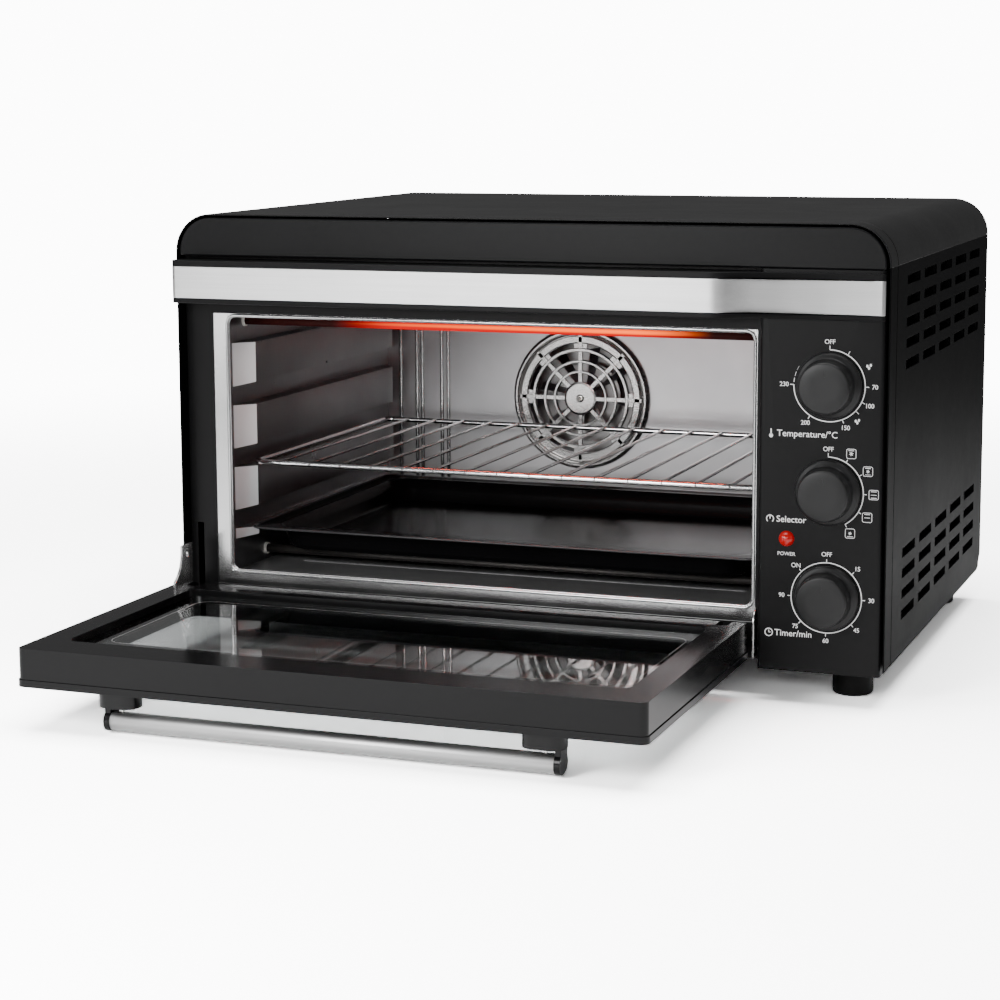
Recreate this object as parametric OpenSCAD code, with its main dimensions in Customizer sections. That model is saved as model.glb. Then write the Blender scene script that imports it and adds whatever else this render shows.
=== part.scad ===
// Countertop convection toaster oven, drawn with its door open and level.
// X runs to the right seen from the front, Y runs to the back and Z runs up.
// Z = 0 is the surface under the feet. Lengths in the modules are measured from
// the front face of the fascia (y = 0), and placed() centres the oven over the origin.

/* [Body] */
// Width over the side panels
body_w = 530; // [480:1:640]
// Depth from the fascia to the rear edge of the cover
body_d = 392; // [320:1:480]
// Height from the base plate to the top of the cover
body_h = 303; // [290:1:370]
// Thickness of the outer steel sheets
sheet_t = 1; // [0.8:0.1:1.2]
// Outer radius of the rounded top edges
corner_r = 28; // [20:1:30]
// Clearance of the open door's handle over the table
floor_gap = 2; // [1.5:0.5:8]
// Diameter of the feet
foot_d = 28.6; // [24:0.2:32]

/* [Control panel] */
// Width of the control panel
panel_w = 85.5; // [80:0.1:110]
// Depth of the moulded front parts
front_d = 22; // [18:1:26]
// Wall of the moulded front parts
mould_t = 2.5; // [2:0.1:3]
// Distance between two knobs
knob_pitch = 72.5; // [58:0.5:74]
// Diameter of the knob flange
knob_flange_d = 45; // [38:0.5:48]
// Diameter of the knob grip
knob_grip_d = 36; // [30:0.5:37]
// Distance from the panel to the knob's face
knob_h = 18; // [14:0.5:22]
// Diameter of the control shafts
shaft_d = 6; // [5:0.1:6.5]
// Diameter of the power lamp
lamp_d = 11; // [8:0.5:13]

/* [Trim band] */
// Height of the trim band above the door
trim_h = 31.2; // [26:0.2:34]
// How far the trim band stands out over the door
trim_out = 15; // [12:0.5:18]
// Height of the steel strip in the trim band
strip_h = 23; // [16:0.5:24]

/* [Cavity] */
// Depth of the space behind the cavity, for the fan's chamber and motor
rear_space = 61; // [51:1:90]
// Height of the cavity floor
cavity_floor_z = 58; // [56:0.5:62]
// Thickness of the cavity sheet
liner_t = 0.8; // [0.6:0.1:1]
// How far the shelf pressings stand out of the side walls
guide_out = 13; // [11:0.5:14]
// Distance between two shelf levels
shelf_pitch = 47; // [36:0.1:48]
// Diameter of the heater tubes
heater_d = 6.5; // [5.5:0.1:7]

/* [Fan] */
// Outer diameter of the fan grille
grille_d = 120; // [110:1:130]
// Outer diameter of the fan impeller
impeller_d = 96; // [70:1:100]
// Distance of the fan to the left of the cavity's middle
fan_offset = 30.5; // [0:0.5:40]

/* [Shelves] */
// Diameter of the rack's frame wire
rack_frame_d = 6; // [4:0.1:6.4]
// Diameter of the rack's cross wires
rack_wire_d = 3; // [2.4:0.1:3.6]
// Distance between two cross wires
rack_pitch = 25; // [18:0.5:26]
// Depth of the tray's pan below its rim
tray_depth = 18; // [10:0.5:18]
// Sheet thickness of the baking tray
tray_t = 1; // [0.8:0.1:1.2]

/* [Door] */
// Thickness of the door
door_t = 26; // [21.5:0.1:32]
// Radius of the door's corners
door_r = 6; // [3:0.5:9]
// Width of the door frame at its sides
door_side_w = 21; // [19:0.5:30]
// Width of the door frame at its top and bottom
door_rail_w = 31; // [29:0.5:40]
// Thickness of each glass pane
glass_t = 4; // [3:0.5:4]
// Diameter of the hinge pins
pin_d = 5; // [4:0.1:6]

/* [Handle] */
// Diameter of the handle tube
handle_d = 13; // [10:0.5:13]
// Length of the handle tube
handle_len = 309; // [240:1:320]
// Distance between the two handle posts
handle_pitch = 295; // [236:1:316]
// Gap between the handle tube and the door
handle_gap = 15; // [13:0.5:15]

/* [Hidden] */
$fn = 64;

// clearances
contact_gap = 0.3;      // between fixed neighbours that don't touch
running_gap = 0.05;     // radial, between a shaft and its bore
door_gap = 1.5;         // between the closed door and its neighbours
side_inset = 1;         // from the side panels' outer faces to the door's left edge
fascia_inset = 3;       // from the cover's outline to the fascia's outline

// body
hinge_drop = 3.5;       // from the base plate's underside up to the open door
foot_h = floor_gap + handle_d + handle_gap - hinge_drop;
base_z = foot_h;
top_z = base_z + body_h;
half_w = body_w / 2;
inner_half_w = half_w - sheet_t;
seam_z = top_z - corner_r - 1;
rear_recess = 1;        // the rear panel sits this far inside the cover's rear edge
screw_head_h = 2;
bushing_out = 8;        // how far the cord bushing stands out of the rear panel
rear_y = body_d - rear_recess;
rear_most = rear_y + bushing_out;

// front parts
fascia_half_w = half_w - fascia_inset;
panel_right = fascia_half_w;
panel_left = panel_right - panel_w;
panel_bottom = base_z - 3.5;
trim_top = top_z - 33;
trim_bottom = trim_top - trim_h;
fascia_bottom = trim_top + 2.5;
fascia_top = top_z - 2.5;
panel_trim_out = 3.5;   // how far the trim band stands out over the control panel
frame_y = -trim_out + door_t + 1;   // front face of the front frame, just behind the closed door

// controls
control_x = (panel_left + panel_right) / 2 + 5.35;
timer_z = base_z + 49.5;
selector_z = timer_z + knob_pitch;
temperature_z = selector_z + knob_pitch;
lamp_pos = [control_x - 28, (timer_z + selector_z) / 2 + 3];
control_body = [34, 26, 36];
control_y = front_d + 2;

// cavity
frame_left = -half_w + 22.5;                    // left edge of the front frame's opening
cavity_left = frame_left + 4.5;
frame_right = panel_left - 4.5;
cavity_right = frame_right + 5;
cavity_w = cavity_right - cavity_left;
cavity_mid = (cavity_left + cavity_right) / 2;
cavity_y = frame_y + 2;                         // front ends of the cavity's walls
cavity_rear = rear_y - rear_space;
cavity_top_z = trim_bottom - 3.3;
cavity_h = cavity_top_z - cavity_floor_z;
lip_z = cavity_floor_z + 5;
flange_lip = 7.5;                               // from the cavity's walls to the flange's opening
frame_low = cavity_floor_z - 5.5;
frame_high = cavity_top_z - 6;
shelf_z = [for (k = [0:3]) cavity_floor_z + 32.5 + k * shelf_pitch];
guide_low = [for (k = [0:3]) k == 0 ? shelf_z[0] - 8 : shelf_z[k - 1] + 14];
guide_y0 = cavity_y + 20;
guide_y1 = cavity_rear - 8;

// heaters
heater_over = 9;                                // how far each heater passes its wall
upper_heater_z = cavity_top_z - 15;
lower_heater_z = cavity_floor_z + 8.5;
front_heater_y = cavity_y + 41;
rear_heater_y = cavity_rear - 75;
insulator_d = 11;
heater_spots = [[front_heater_y, upper_heater_z], [rear_heater_y, upper_heater_z],
    [front_heater_y + 30, lower_heater_z], [rear_heater_y, lower_heater_z]];

// fan
fan_x = cavity_mid - fan_offset;
fan_z = cavity_floor_z + cavity_h / 2 + 1.5;
fan_shaft_d = 5;
grille_t = 5;
chamber_depth = 28;
motor_d = 54;
motor_h = 18;

// shelves
shelf_half_w = cavity_w / 2 - flange_lip - 1;
rack_y = cavity_y + 30;
rack_len = cavity_rear - rack_y - 30;
rack_wires = 2 * floor((shelf_half_w - 18) / rack_pitch) + 1;
rack_z = shelf_z[1] + rack_frame_d / 2 + contact_gap;
tray_y = cavity_y + 22;
tray_len = cavity_rear - tray_y - 26;
tray_z = shelf_z[0] + contact_gap;
tray_body_half_w = cavity_w / 2 - guide_out - 2;

// door, drawn open
door_bottom_z = base_z + hinge_drop;            // outer face of the open door
door_plate_t = glass_t + 1;                     // outer plate: the pane and the ledge under it
door_left = -half_w + side_inset;
door_right = panel_left - 5;
door_mid = (door_left + door_right) / 2;
pivot_in = 5;                                   // from the door's outer face to the hinge pins
pivot_y = -trim_out + pivot_in;
pivot_z = door_bottom_z + pivot_in;
door_reach = trim_bottom - door_gap - pivot_z;  // from the hinge pins to the door's top edge
door_tail = pivot_z - panel_bottom - 0.5;       // from the hinge pins to the door's bottom edge
door_front = pivot_y - door_reach;
door_rear = pivot_y + door_tail;
door_top_z = door_bottom_z + door_t;
plate_lap = 0.8;                                // how far the outer plate laps the inner frame
glass_inset = 5;                                // depth of the inner glass below the door's face
glass_rest = 2.3;                               // width of the ledge under each pane
notch_w = 8.5;
ear_t = 2.5;
ear_r = pin_d / 2 + 3.5;
ear_inset = 15;                                 // from the door's edges to the hinge ears
pin_half = 11;
hinge_round = frame_y - 0.7 - pivot_y;          // rounding that lets the door's edge pass the frame
ear_x = [door_left + ear_inset, door_right - ear_inset];
arm_t = 2;
arm_x = door_left + 8;
arm_h = 30;
arm_back = 6;

// handle
handle_y = door_front + 17;
handle_z = door_bottom_z - handle_gap - handle_d / 2;
post_d = 20;
post_w = 28.5;
post_h = 10.5;
cap_w = 4;
cap_d = 14;
screw_d = 5;

y_mid = (rear_most + door_front) / 2;

// ---------- helpers ----------

module placed() {
    translate([0, -y_mid, 0]) children();
}

// block from one corner to the opposite one
module block(a, b) {
    translate(a) cube(b - a);
}

// outline in XZ, drawn from y0 to y1
module drawn_back(y0, y1) {
    translate([0, y1, 0]) rotate([90, 0, 0]) linear_extrude(y1 - y0) children();
}

// cylinder along Y from y0 to y1 at x, z
module rod_y(x, z, y0, y1, r) {
    translate([x, y1, z]) rotate([90, 0, 0]) cylinder(h = y1 - y0, r = r);
}

// cylinder along X from x0 to x1 at y, z
module rod_x(y, z, x0, x1, r) {
    translate([x0, y, z]) rotate([0, 90, 0]) cylinder(h = x1 - x0, r = r);
}

// rectangle with rounded corners, from one corner to the opposite one
module round_rect(a, b, r) {
    w = b[0] - a[0];
    h = b[1] - a[1];
    translate(a) union() {
        translate([r, 0]) square([w - 2 * r, h]);
        translate([0, r]) square([w, h - 2 * r]);
        for (x = [r, w - r], y = [r, h - r]) translate([x, y]) circle(r);
    }
}

// outline of the body in XZ: square at the bottom, rounded at the top
module body_outline(inset, low) {
    r = corner_r - inset;
    w = half_w - inset;
    top = top_z - inset;
    intersection() {
        translate([-w, low]) square([2 * w, top - low]);
        union() {
            translate([-w, low - r]) square([2 * w, top - low]);
            translate([-w + r, low]) square([2 * (w - r), top - low]);
            for (s = [-1, 1]) translate([s * (w - r), top - r]) circle(r);
        }
    }
}

// ---------- outer shell ----------

band_groove = [0.5, 1.2];   // depth and width of the groove behind the shell's front edge

module top_cover() {
    color([0.05, 0.05, 0.05]) difference() {
        drawn_back(0, body_d) difference() {
            body_outline(0, seam_z);
            body_outline(sheet_t, seam_z - 1);
        }
        drawn_back(front_d, front_d + band_groove[1]) difference() {
            translate([-body_w, seam_z - 1]) square([2 * body_w, body_h]);
            body_outline(band_groove[0], seam_z - 2);
        }
    }
}

vent_pitch_y = 62.5;
vent_size = [46, 6.5];
vent_y = 57;
vent_cols = floor((body_d - vent_y - vent_size[0] - 20) / vent_pitch_y) + 1;
upper_vents = [top_z - 44, 5, 14.6];        // top row's bottom z, rows, row pitch
lower_vents = [base_z + 69, 4, 14.6];

// slots of one vent field in a side panel, cut along X
module vent_field(x0, x1, field) {
    for (c = [0:vent_cols - 1], r = [0:field[1] - 1]) {
        y = vent_y + c * vent_pitch_y;
        z = field[0] - r * field[2];
        block([x0, y, z], [x1, y + vent_size[0], z + vent_size[1]]);
    }
}

module side_panel() {
    chamfer = 12;
    difference() {
        translate([inner_half_w, 0, 0]) rotate([90, 0, 90]) linear_extrude(sheet_t)
            polygon([[0, base_z], [body_d - chamfer, base_z], [body_d, base_z + chamfer],
                [body_d, seam_z], [0, seam_z]]);
        vent_field(inner_half_w - 1, half_w + 1, upper_vents);
        vent_field(inner_half_w - 1, half_w + 1, lower_vents);
        block([half_w - band_groove[0], front_d, base_z - 1],
            [half_w + 1, front_d + band_groove[1], seam_z + 1]);
    }
}

module left_side_panel() {
    color([0.05, 0.05, 0.05]) mirror([1, 0, 0]) side_panel();
}

module right_side_panel() {
    color([0.05, 0.05, 0.05]) side_panel();
}

rear_vents = [9, 23.4, 6];  // rows, row pitch, slot height
rear_vent_w = 46;
rear_vent_x = [-200, -138, 62, 124, 176];
bushing_pos = [half_w - 52, base_z + 42];
bushing_d = 16;
rear_screw_inset = 14;
rear_screw_spots = [for (s = [-1, 1], z = [base_z + 20, base_z + 130, seam_z - 12])
    [s * (inner_half_w - rear_screw_inset), z]];
rear_screw_d = 4;

module rear_panel() {
    color([0.09, 0.09, 0.09]) difference() {
        drawn_back(rear_y - sheet_t, rear_y) intersection() {
            round_rect([-inner_half_w, base_z - corner_r], [inner_half_w, top_z - sheet_t], corner_r + 3);
            translate([-body_w, base_z + sheet_t]) square([2 * body_w, body_h]);
        }
        for (x = rear_vent_x, r = [0:rear_vents[0] - 1])
            block([x, rear_y - 5, base_z + 62 + r * rear_vents[1]],
                [x + rear_vent_w, rear_y + 5, base_z + 62 + r * rear_vents[1] + rear_vents[2]]);
        rod_y(bushing_pos[0], bushing_pos[1], rear_y - 5, rear_y + 5, bushing_d / 2);
        for (p = rear_screw_spots) rod_y(p[0], p[1], rear_y - 5, rear_y + 5, rear_screw_d / 2);
    }
}

module rear_panel_screws() {
    color([0.2, 0.2, 0.2]) for (p = rear_screw_spots) {
        rod_y(p[0], p[1], rear_y - 8, rear_y + 0.5, rear_screw_d / 2);
        rod_y(p[0], p[1], rear_y, rear_y + screw_head_h, rear_screw_d);
    }
}

module cord_bushing() {
    color([0.06, 0.06, 0.06]) difference() {
        union() {
            rod_y(bushing_pos[0], bushing_pos[1], rear_y - 8, rear_most - 2, bushing_d / 2);
            rod_y(bushing_pos[0], bushing_pos[1], rear_y, rear_most, bushing_d / 2 + 3);
        }
        rod_y(bushing_pos[0], bushing_pos[1], rear_y - 20, rear_most + 5, 3.5);
    }
}

foot_x = half_w - 31;
foot_ys = [47, body_d - 26];
foot_screw_d = 4;
base_vents = [7, 50];       // slots in a row and their distance

module base_plate() {
    color([0.12, 0.12, 0.12]) difference() {
        block([-inner_half_w, frame_y + 2, base_z], [inner_half_w, rear_y, base_z + sheet_t]);
        block([panel_left - 1, frame_y, base_z - 1], [half_w, front_d + 1, base_z + 5]);
        for (x = [-foot_x, foot_x], y = foot_ys)
            translate([x, y, base_z - 1]) cylinder(h = 5, r = foot_screw_d / 2);
        for (i = [0:base_vents[0] - 1], y = [130, 200, 270])
            block([-182 + i * base_vents[1], y, base_z - 1], [-150 + i * base_vents[1], y + 6, base_z + 5]);
    }
}

module foot(x, y) {
    lead = 1.5;
    color([0.04, 0.04, 0.04]) translate([x, y, 0]) difference() {
        union() {
            cylinder(h = lead, r1 = foot_d / 2 - lead, r2 = foot_d / 2);
            translate([0, 0, lead]) cylinder(h = foot_h - lead, r = foot_d / 2);
        }
        translate([0, 0, -1]) cylinder(h = 9, r = 5);
        cylinder(h = foot_h + 1, r = foot_screw_d / 2);
    }
}

module front_left_foot() { foot(-foot_x, foot_ys[0]); }
module front_right_foot() { foot(foot_x, foot_ys[0]); }
module rear_left_foot() { foot(-foot_x, foot_ys[1]); }
module rear_right_foot() { foot(foot_x, foot_ys[1]); }

module foot_screws() {
    color([0.7, 0.7, 0.7]) for (x = [-foot_x, foot_x], y = foot_ys) translate([x, y, 0]) {
        translate([0, 0, 5.5]) cylinder(h = 2.5, r = 4);
        translate([0, 0, 7]) cylinder(h = foot_h + 1, r = foot_screw_d / 2);
    }
}

// ---------- front ----------

arm_slot = [arm_t + 3, arm_h + 12];     // width and height of the slots for the hinge arms

module front_frame() {
    color([0.03, 0.03, 0.03]) difference() {
        block([-inner_half_w, frame_y, base_z + sheet_t], [panel_left + mould_t, frame_y + 1, fascia_bottom]);
        block([frame_left, frame_y - 1, frame_low], [frame_right, frame_y + 3, frame_high]);
        for (x = ear_x)
            block([x - ear_t / 2 - contact_gap, frame_y - 1, pivot_z - ear_r - contact_gap],
                [x + ear_t / 2 + contact_gap, frame_y + 3, pivot_z + ear_r + contact_gap]);
        block([arm_x - arm_slot[0] / 2, frame_y - 1, pivot_z - arm_back - 1],
            [arm_x + arm_slot[0] / 2, frame_y + 3, door_top_z + arm_slot[1]]);
    }
}

module upper_fascia() {
    color([0.07, 0.07, 0.07]) difference() {
        drawn_back(0, front_d) fascia_outline(0, fascia_bottom);
        drawn_back(mould_t, front_d + 1) fascia_outline(mould_t, fascia_bottom + mould_t);
    }
}

module fascia_outline(inset, low) {
    r = corner_r - fascia_inset - inset;
    w = fascia_half_w - inset;
    top = fascia_top - inset;
    intersection() {
        translate([-w, low]) square([2 * w, top - low]);
        union() {
            translate([-w + r, low]) square([2 * (w - r), top - low]);
            for (s = [-1, 1]) translate([s * (w - r), top - r]) circle(r);
        }
    }
}

panel_edge_r = 3;

module control_panel() {
    color([0.06, 0.06, 0.06]) difference() {
        translate([0, 0, panel_bottom]) linear_extrude(fascia_bottom - contact_gap - panel_bottom)
            difference() {
                panel_plan(0);
                panel_plan(mould_t);
            }
        block([panel_left - 1, frame_y, panel_bottom - 1], [panel_left + mould_t + 1, front_d + 1, top_z]);
        panel_holes();
    }
}

// plan of the control panel in XY, open to the back when it is inset
module panel_plan(inset) {
    back = inset > 0 ? front_d + 5 : front_d;
    round_rect([panel_left + inset, inset], [panel_right - inset, back], panel_edge_r - inset / 2);
    if (inset == 0) translate([panel_left, panel_edge_r]) square([panel_w, back - panel_edge_r]);
}

module panel_holes() {
    for (z = [timer_z, selector_z, temperature_z]) rod_y(control_x, z, -5, mould_t + 5, shaft_d / 2 + 1);
    rod_y(lamp_pos[0], lamp_pos[1], -5, mould_t + 5, lamp_d / 2 - 1);
}

// plan of the trim band in XY: it stands out over the door and bends back to the panel
bend_angle = 29;
bend_r = 25;
bend_x = panel_left - 33;
strip_t = 1;

function trim_front(inset) =
    let (y0 = -trim_out + inset, y1 = -panel_trim_out + inset, rr = bend_r - inset)
    let (arc = [for (a = [0:5:bend_angle - 1]) [bend_x + rr * sin(a), y0 + rr * (1 - cos(a))]])
    let (last = [bend_x + rr * sin(bend_angle), y0 + rr * (1 - cos(bend_angle))])
    let (foot_at = [last[0] + (y1 - last[1]) / tan(bend_angle), y1])
    concat(arc, [last, foot_at]);

function end_arc(x, y, r, a0) = [for (a = [a0:15:a0 + 90]) [x + r * cos(a), y + r * sin(a)]];

module trim_plan(inset) {
    r = 4 - inset;
    w = fascia_half_w - inset;
    polygon(concat(
        [[-w, frame_y]],
        end_arc(-w + r, -trim_out + inset + r, r, 180),
        trim_front(inset),
        end_arc(w - r + 1.5, -panel_trim_out + inset + r - 1.5, r - 1.5, 270),
        [[w, 0], [panel_left - 1, 0], [panel_left - 1, frame_y]]));
}

strip_z = trim_bottom + (trim_h - strip_h) / 2 - 0.4;

module trim_rail() {
    color([0.04, 0.04, 0.04]) difference() {
        translate([0, 0, trim_bottom]) linear_extrude(trim_h) trim_plan(0);
        translate([0, 0, strip_z]) linear_extrude(strip_h) difference() {
            translate([-body_w, -trim_out - 1]) square([2 * body_w, trim_out + frame_y]);
            trim_plan(strip_t);
        }
    }
}

module trim_strip() {
    color([0.75, 0.75, 0.75]) translate([0, 0, strip_z]) linear_extrude(strip_h) difference() {
        trim_plan(0);
        trim_plan(strip_t);
        translate([-body_w, -panel_trim_out / 2]) square([body_w + panel_left - 1, 50]);
        translate([0, -1]) square([body_w, 50]);
    }
}

// ---------- controls ----------

module knob(z) {
    flange_t = 3;
    color([0.05, 0.05, 0.05]) translate([control_x, 0, z]) difference() {
        union() {
            rod_y(0, 0, -0.8 - flange_t, -0.8, knob_flange_d / 2);
            rod_y(0, 0, -knob_h, -2, knob_grip_d / 2);
        }
        rod_y(0, 0, -knob_h + 4, 1, shaft_d / 2);
        block([-0.8, -knob_h - 1, knob_grip_d / 2 - 9], [0.8, -knob_h + 0.8, knob_grip_d / 2 - 2]);
    }
}

module control_shaft(z) {
    color([0.7, 0.7, 0.7]) rod_y(control_x, z, -knob_h + 4, control_y + control_body[1] - 4, shaft_d / 2);
}

// switch body behind the panel, with a running bore for its shaft
module control_unit(z, size) {
    difference() {
        union() {
            block([control_x - size[0] / 2, control_y, z - size[2] / 2],
                [control_x + size[0] / 2, control_y + size[1], z + size[2] / 2]);
            rod_y(control_x, z, mould_t, control_y + 1, shaft_d / 2 + 3);
        }
        rod_y(control_x, z, 0, control_y + size[1] - 3, shaft_d / 2 + running_gap);
    }
}

module temperature_knob() { knob(temperature_z); }
module selector_knob() { knob(selector_z); }
module timer_knob() { knob(timer_z); }
module temperature_shaft() { control_shaft(temperature_z); }
module selector_shaft() { control_shaft(selector_z); }
module timer_shaft() { control_shaft(timer_z); }

module thermostat() {
    color([0.8, 0.78, 0.7]) control_unit(temperature_z, control_body);
}

module selector_switch() {
    color([0.2, 0.2, 0.22]) control_unit(selector_z, control_body);
}

module timer_mechanism() {
    color([0.6, 0.6, 0.6]) control_unit(timer_z, [control_body[0] + 6, control_body[1] + 8, control_body[2] + 6]);
}

bulb_z = cavity_top_z - 12;
bulb_r = 2.5;

module thermostat_bulb() {
    color([0.8, 0.5, 0.3]) rod_x(cavity_rear - 30, bulb_z, cavity_right - 42, cavity_right + 16, bulb_r);
}

module terminal_block() {
    color([0.85, 0.85, 0.82]) block([inner_half_w - 60, rear_y - 90, base_z + sheet_t],
        [inner_half_w - 30, rear_y - 50, base_z + sheet_t + 22]);
}

module power_lamp_lens() {
    dome = lamp_d / 2;
    color([0.8, 0.05, 0.05]) translate([lamp_pos[0], 0, lamp_pos[1]]) {
        difference() {
            translate([0, dome * 0.15, 0]) sphere(dome);
            block([-dome * 2, 0, -dome * 2], [dome * 2, dome * 3, dome * 2]);
        }
        rod_y(0, 0, -0.5, mould_t + 4, dome - 1);
    }
}

module power_lamp_holder() {
    color([0.85, 0.85, 0.8]) difference() {
        rod_y(lamp_pos[0], lamp_pos[1], mould_t, mould_t + 14, lamp_d / 2 + 2);
        rod_y(lamp_pos[0], lamp_pos[1], 0, mould_t + 4, lamp_d / 2 - 1);
    }
}

// ---------- cavity ----------

// pressed shelf guide on the left wall, hollow from behind
module guide_form(k, inset) {
    out = guide_out - inset;
    low = guide_low[k] + inset;
    high = shelf_z[k] - inset;
    slope = min(3, (high - low) / 3);
    y0 = guide_y0 + inset;
    y1 = guide_y1 - inset;
    intersection() {
        drawn_back(y0, y1) translate([cavity_left, 0])
            polygon([[-2, low], [0, low], [out, low + slope], [out, high], [-2, high]]);
        translate([cavity_left, 0, low - 1]) linear_extrude(high - low + 2)
            polygon([[-2, y0], [0, y0], [out, y0 + out], [out, y1 - out], [0, y1], [-2, y1]]);
    }
}

module cavity_wall() {
    difference() {
        union() {
            block([cavity_left - liner_t, cavity_y, cavity_floor_z], [cavity_left, cavity_rear, cavity_top_z]);
            for (k = [0:3]) intersection() {
                guide_form(k, 0);
                block([cavity_left - liner_t, 0, 0], [cavity_left + guide_out, body_d, top_z]);
            }
        }
        for (k = [0:3]) guide_form(k, liner_t);
        for (p = heater_spots)
            rod_x(p[0], p[1], cavity_left - 5, cavity_left + 5, insulator_d / 2 - 1);
    }
}

module cavity_left_wall() {
    color([0.62, 0.62, 0.62]) cavity_wall();
}

module cavity_right_wall() {
    color([0.62, 0.62, 0.62]) difference() {
        translate([2 * cavity_mid, 0, 0]) mirror([1, 0, 0]) cavity_wall();
        rod_x(cavity_rear - 30, bulb_z, cavity_right - 5, cavity_right + 5, bulb_r);
    }
}

module cavity_ceiling() {
    color([0.62, 0.62, 0.62]) block([cavity_left - liner_t, cavity_y, cavity_top_z],
        [cavity_right + liner_t, cavity_rear, cavity_top_z + liner_t]);
}

module cavity_floor() {
    color([0.62, 0.62, 0.62]) block([cavity_left - liner_t, cavity_y, cavity_floor_z - liner_t],
        [cavity_right + liner_t, cavity_rear, cavity_floor_z]);
}

module cavity_back_wall() {
    color([0.62, 0.62, 0.62]) difference() {
        block([cavity_left - liner_t, cavity_rear, cavity_floor_z - liner_t],
            [cavity_right + liner_t, cavity_rear + liner_t, cavity_top_z + liner_t]);
        rod_y(fan_x, fan_z, cavity_rear - 5, cavity_rear + 5, grille_d / 2 - 9);
    }
}

module cavity_front_flange() {
    color([0.7, 0.7, 0.7]) difference() {
        block([cavity_left - 8, frame_y + 1, frame_low - 3], [cavity_right + 2, cavity_y, frame_high + 8]);
        block([cavity_left + flange_lip, frame_y, lip_z], [cavity_right - flange_lip, cavity_y + 1, frame_high - 2]);
    }
}

module heater(k) {
    p = heater_spots[k];
    color([0.85, 0.3, 0.15]) rod_x(p[0], p[1], cavity_left - heater_over, cavity_right + heater_over, heater_d / 2);
}

module upper_front_heater() { heater(0); }
module upper_rear_heater() { heater(1); }
module lower_front_heater() { heater(2); }
module lower_rear_heater() { heater(3); }

// ceramic bush on each heater end, with a collar outside the wall
module insulator(p) {
    difference() {
        union() {
            rod_x(p[0], p[1], cavity_left - liner_t - 5, cavity_left + 2, insulator_d / 2 - 1);
            rod_x(p[0], p[1], cavity_left - liner_t - 5, cavity_left - liner_t, insulator_d / 2);
        }
        rod_x(p[0], p[1], cavity_left - 20, cavity_left + 20, heater_d / 2);
    }
}

module heater_insulators() {
    color([0.92, 0.9, 0.85]) for (p = heater_spots) {
        insulator(p);
        translate([2 * cavity_mid, 0, 0]) mirror([1, 0, 0]) insulator(p);
    }
}

// ---------- fan ----------

grille_rings = [[0, 14], [22.3, 23.6], [29.7, 32.6], [39.4, 42.3], [47.5, grille_d / 2]];
grille_spokes = 8;

module fan_grille() {
    y0 = cavity_rear - grille_t;
    color([0.6, 0.6, 0.6]) difference() {
        union() {
            for (g = grille_rings) difference() {
                rod_y(fan_x, fan_z, y0, cavity_rear, g[1]);
                if (g[0] > 0) rod_y(fan_x, fan_z, y0 - 1, cavity_rear + 1, g[0]);
            }
            for (k = [0:grille_spokes - 1]) translate([fan_x, 0, fan_z]) rotate([0, k * 360 / grille_spokes, 0])
                block([-2, y0 + 1, 12], [2, cavity_rear - 1, grille_d / 2 - 8]);
        }
        rod_y(fan_x, fan_z, y0 - 1, cavity_rear + 1, 1.5);
    }
}

module fan_grille_screw() {
    y0 = cavity_rear - grille_t;
    color([0.75, 0.75, 0.75]) {
        rod_y(fan_x, fan_z, y0 - 1.5, y0, 3.5);
        rod_y(fan_x, fan_z, y0 - 1, cavity_rear, 1.5);
    }
}

chamber_y = cavity_rear + liner_t;
chamber_r = grille_d / 2 + 4;

module fan_chamber() {
    color([0.55, 0.55, 0.55]) difference() {
        rod_y(fan_x, fan_z, chamber_y, chamber_y + chamber_depth, chamber_r);
        rod_y(fan_x, fan_z, chamber_y - 1, chamber_y + chamber_depth - liner_t, chamber_r - liner_t);
        rod_y(fan_x, fan_z, chamber_y, chamber_y + chamber_depth + 1, fan_shaft_d / 2 + 1.5);
    }
}

impeller_y = chamber_y + 8;
impeller_h = 12;
blades = 6;

module fan_impeller() {
    color([0.5, 0.5, 0.5]) difference() {
        union() {
            rod_y(fan_x, fan_z, impeller_y + impeller_h - 1, impeller_y + impeller_h, impeller_d / 3);
            rod_y(fan_x, fan_z, impeller_y, impeller_y + impeller_h, 6);
            for (k = [0:blades - 1]) translate([fan_x, 0, fan_z]) rotate([0, k * 360 / blades, 0])
                block([-0.6, impeller_y, 4], [0.6, impeller_y + impeller_h - 0.5, impeller_d / 2]);
        }
        rod_y(fan_x, fan_z, impeller_y - 1, impeller_y + impeller_h + 1, fan_shaft_d / 2);
    }
}

motor_y = chamber_y + chamber_depth + 2;

module fan_shaft() {
    color([0.75, 0.75, 0.75]) rod_y(fan_x, fan_z, impeller_y - 2, motor_y + motor_h - 3, fan_shaft_d / 2);
}

module fan_motor() {
    color([0.45, 0.45, 0.47]) difference() {
        union() {
            rod_y(fan_x, fan_z, motor_y, motor_y + motor_h, motor_d / 2);
            block([fan_x - motor_d / 2 - 10, motor_y - 2, fan_z - 8], [fan_x + motor_d / 2 + 10, motor_y, fan_z + 8]);
        }
        rod_y(fan_x, fan_z, motor_y - 5, motor_y + motor_h - 3, fan_shaft_d / 2 + running_gap);
    }
}

// ---------- shelves ----------

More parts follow.
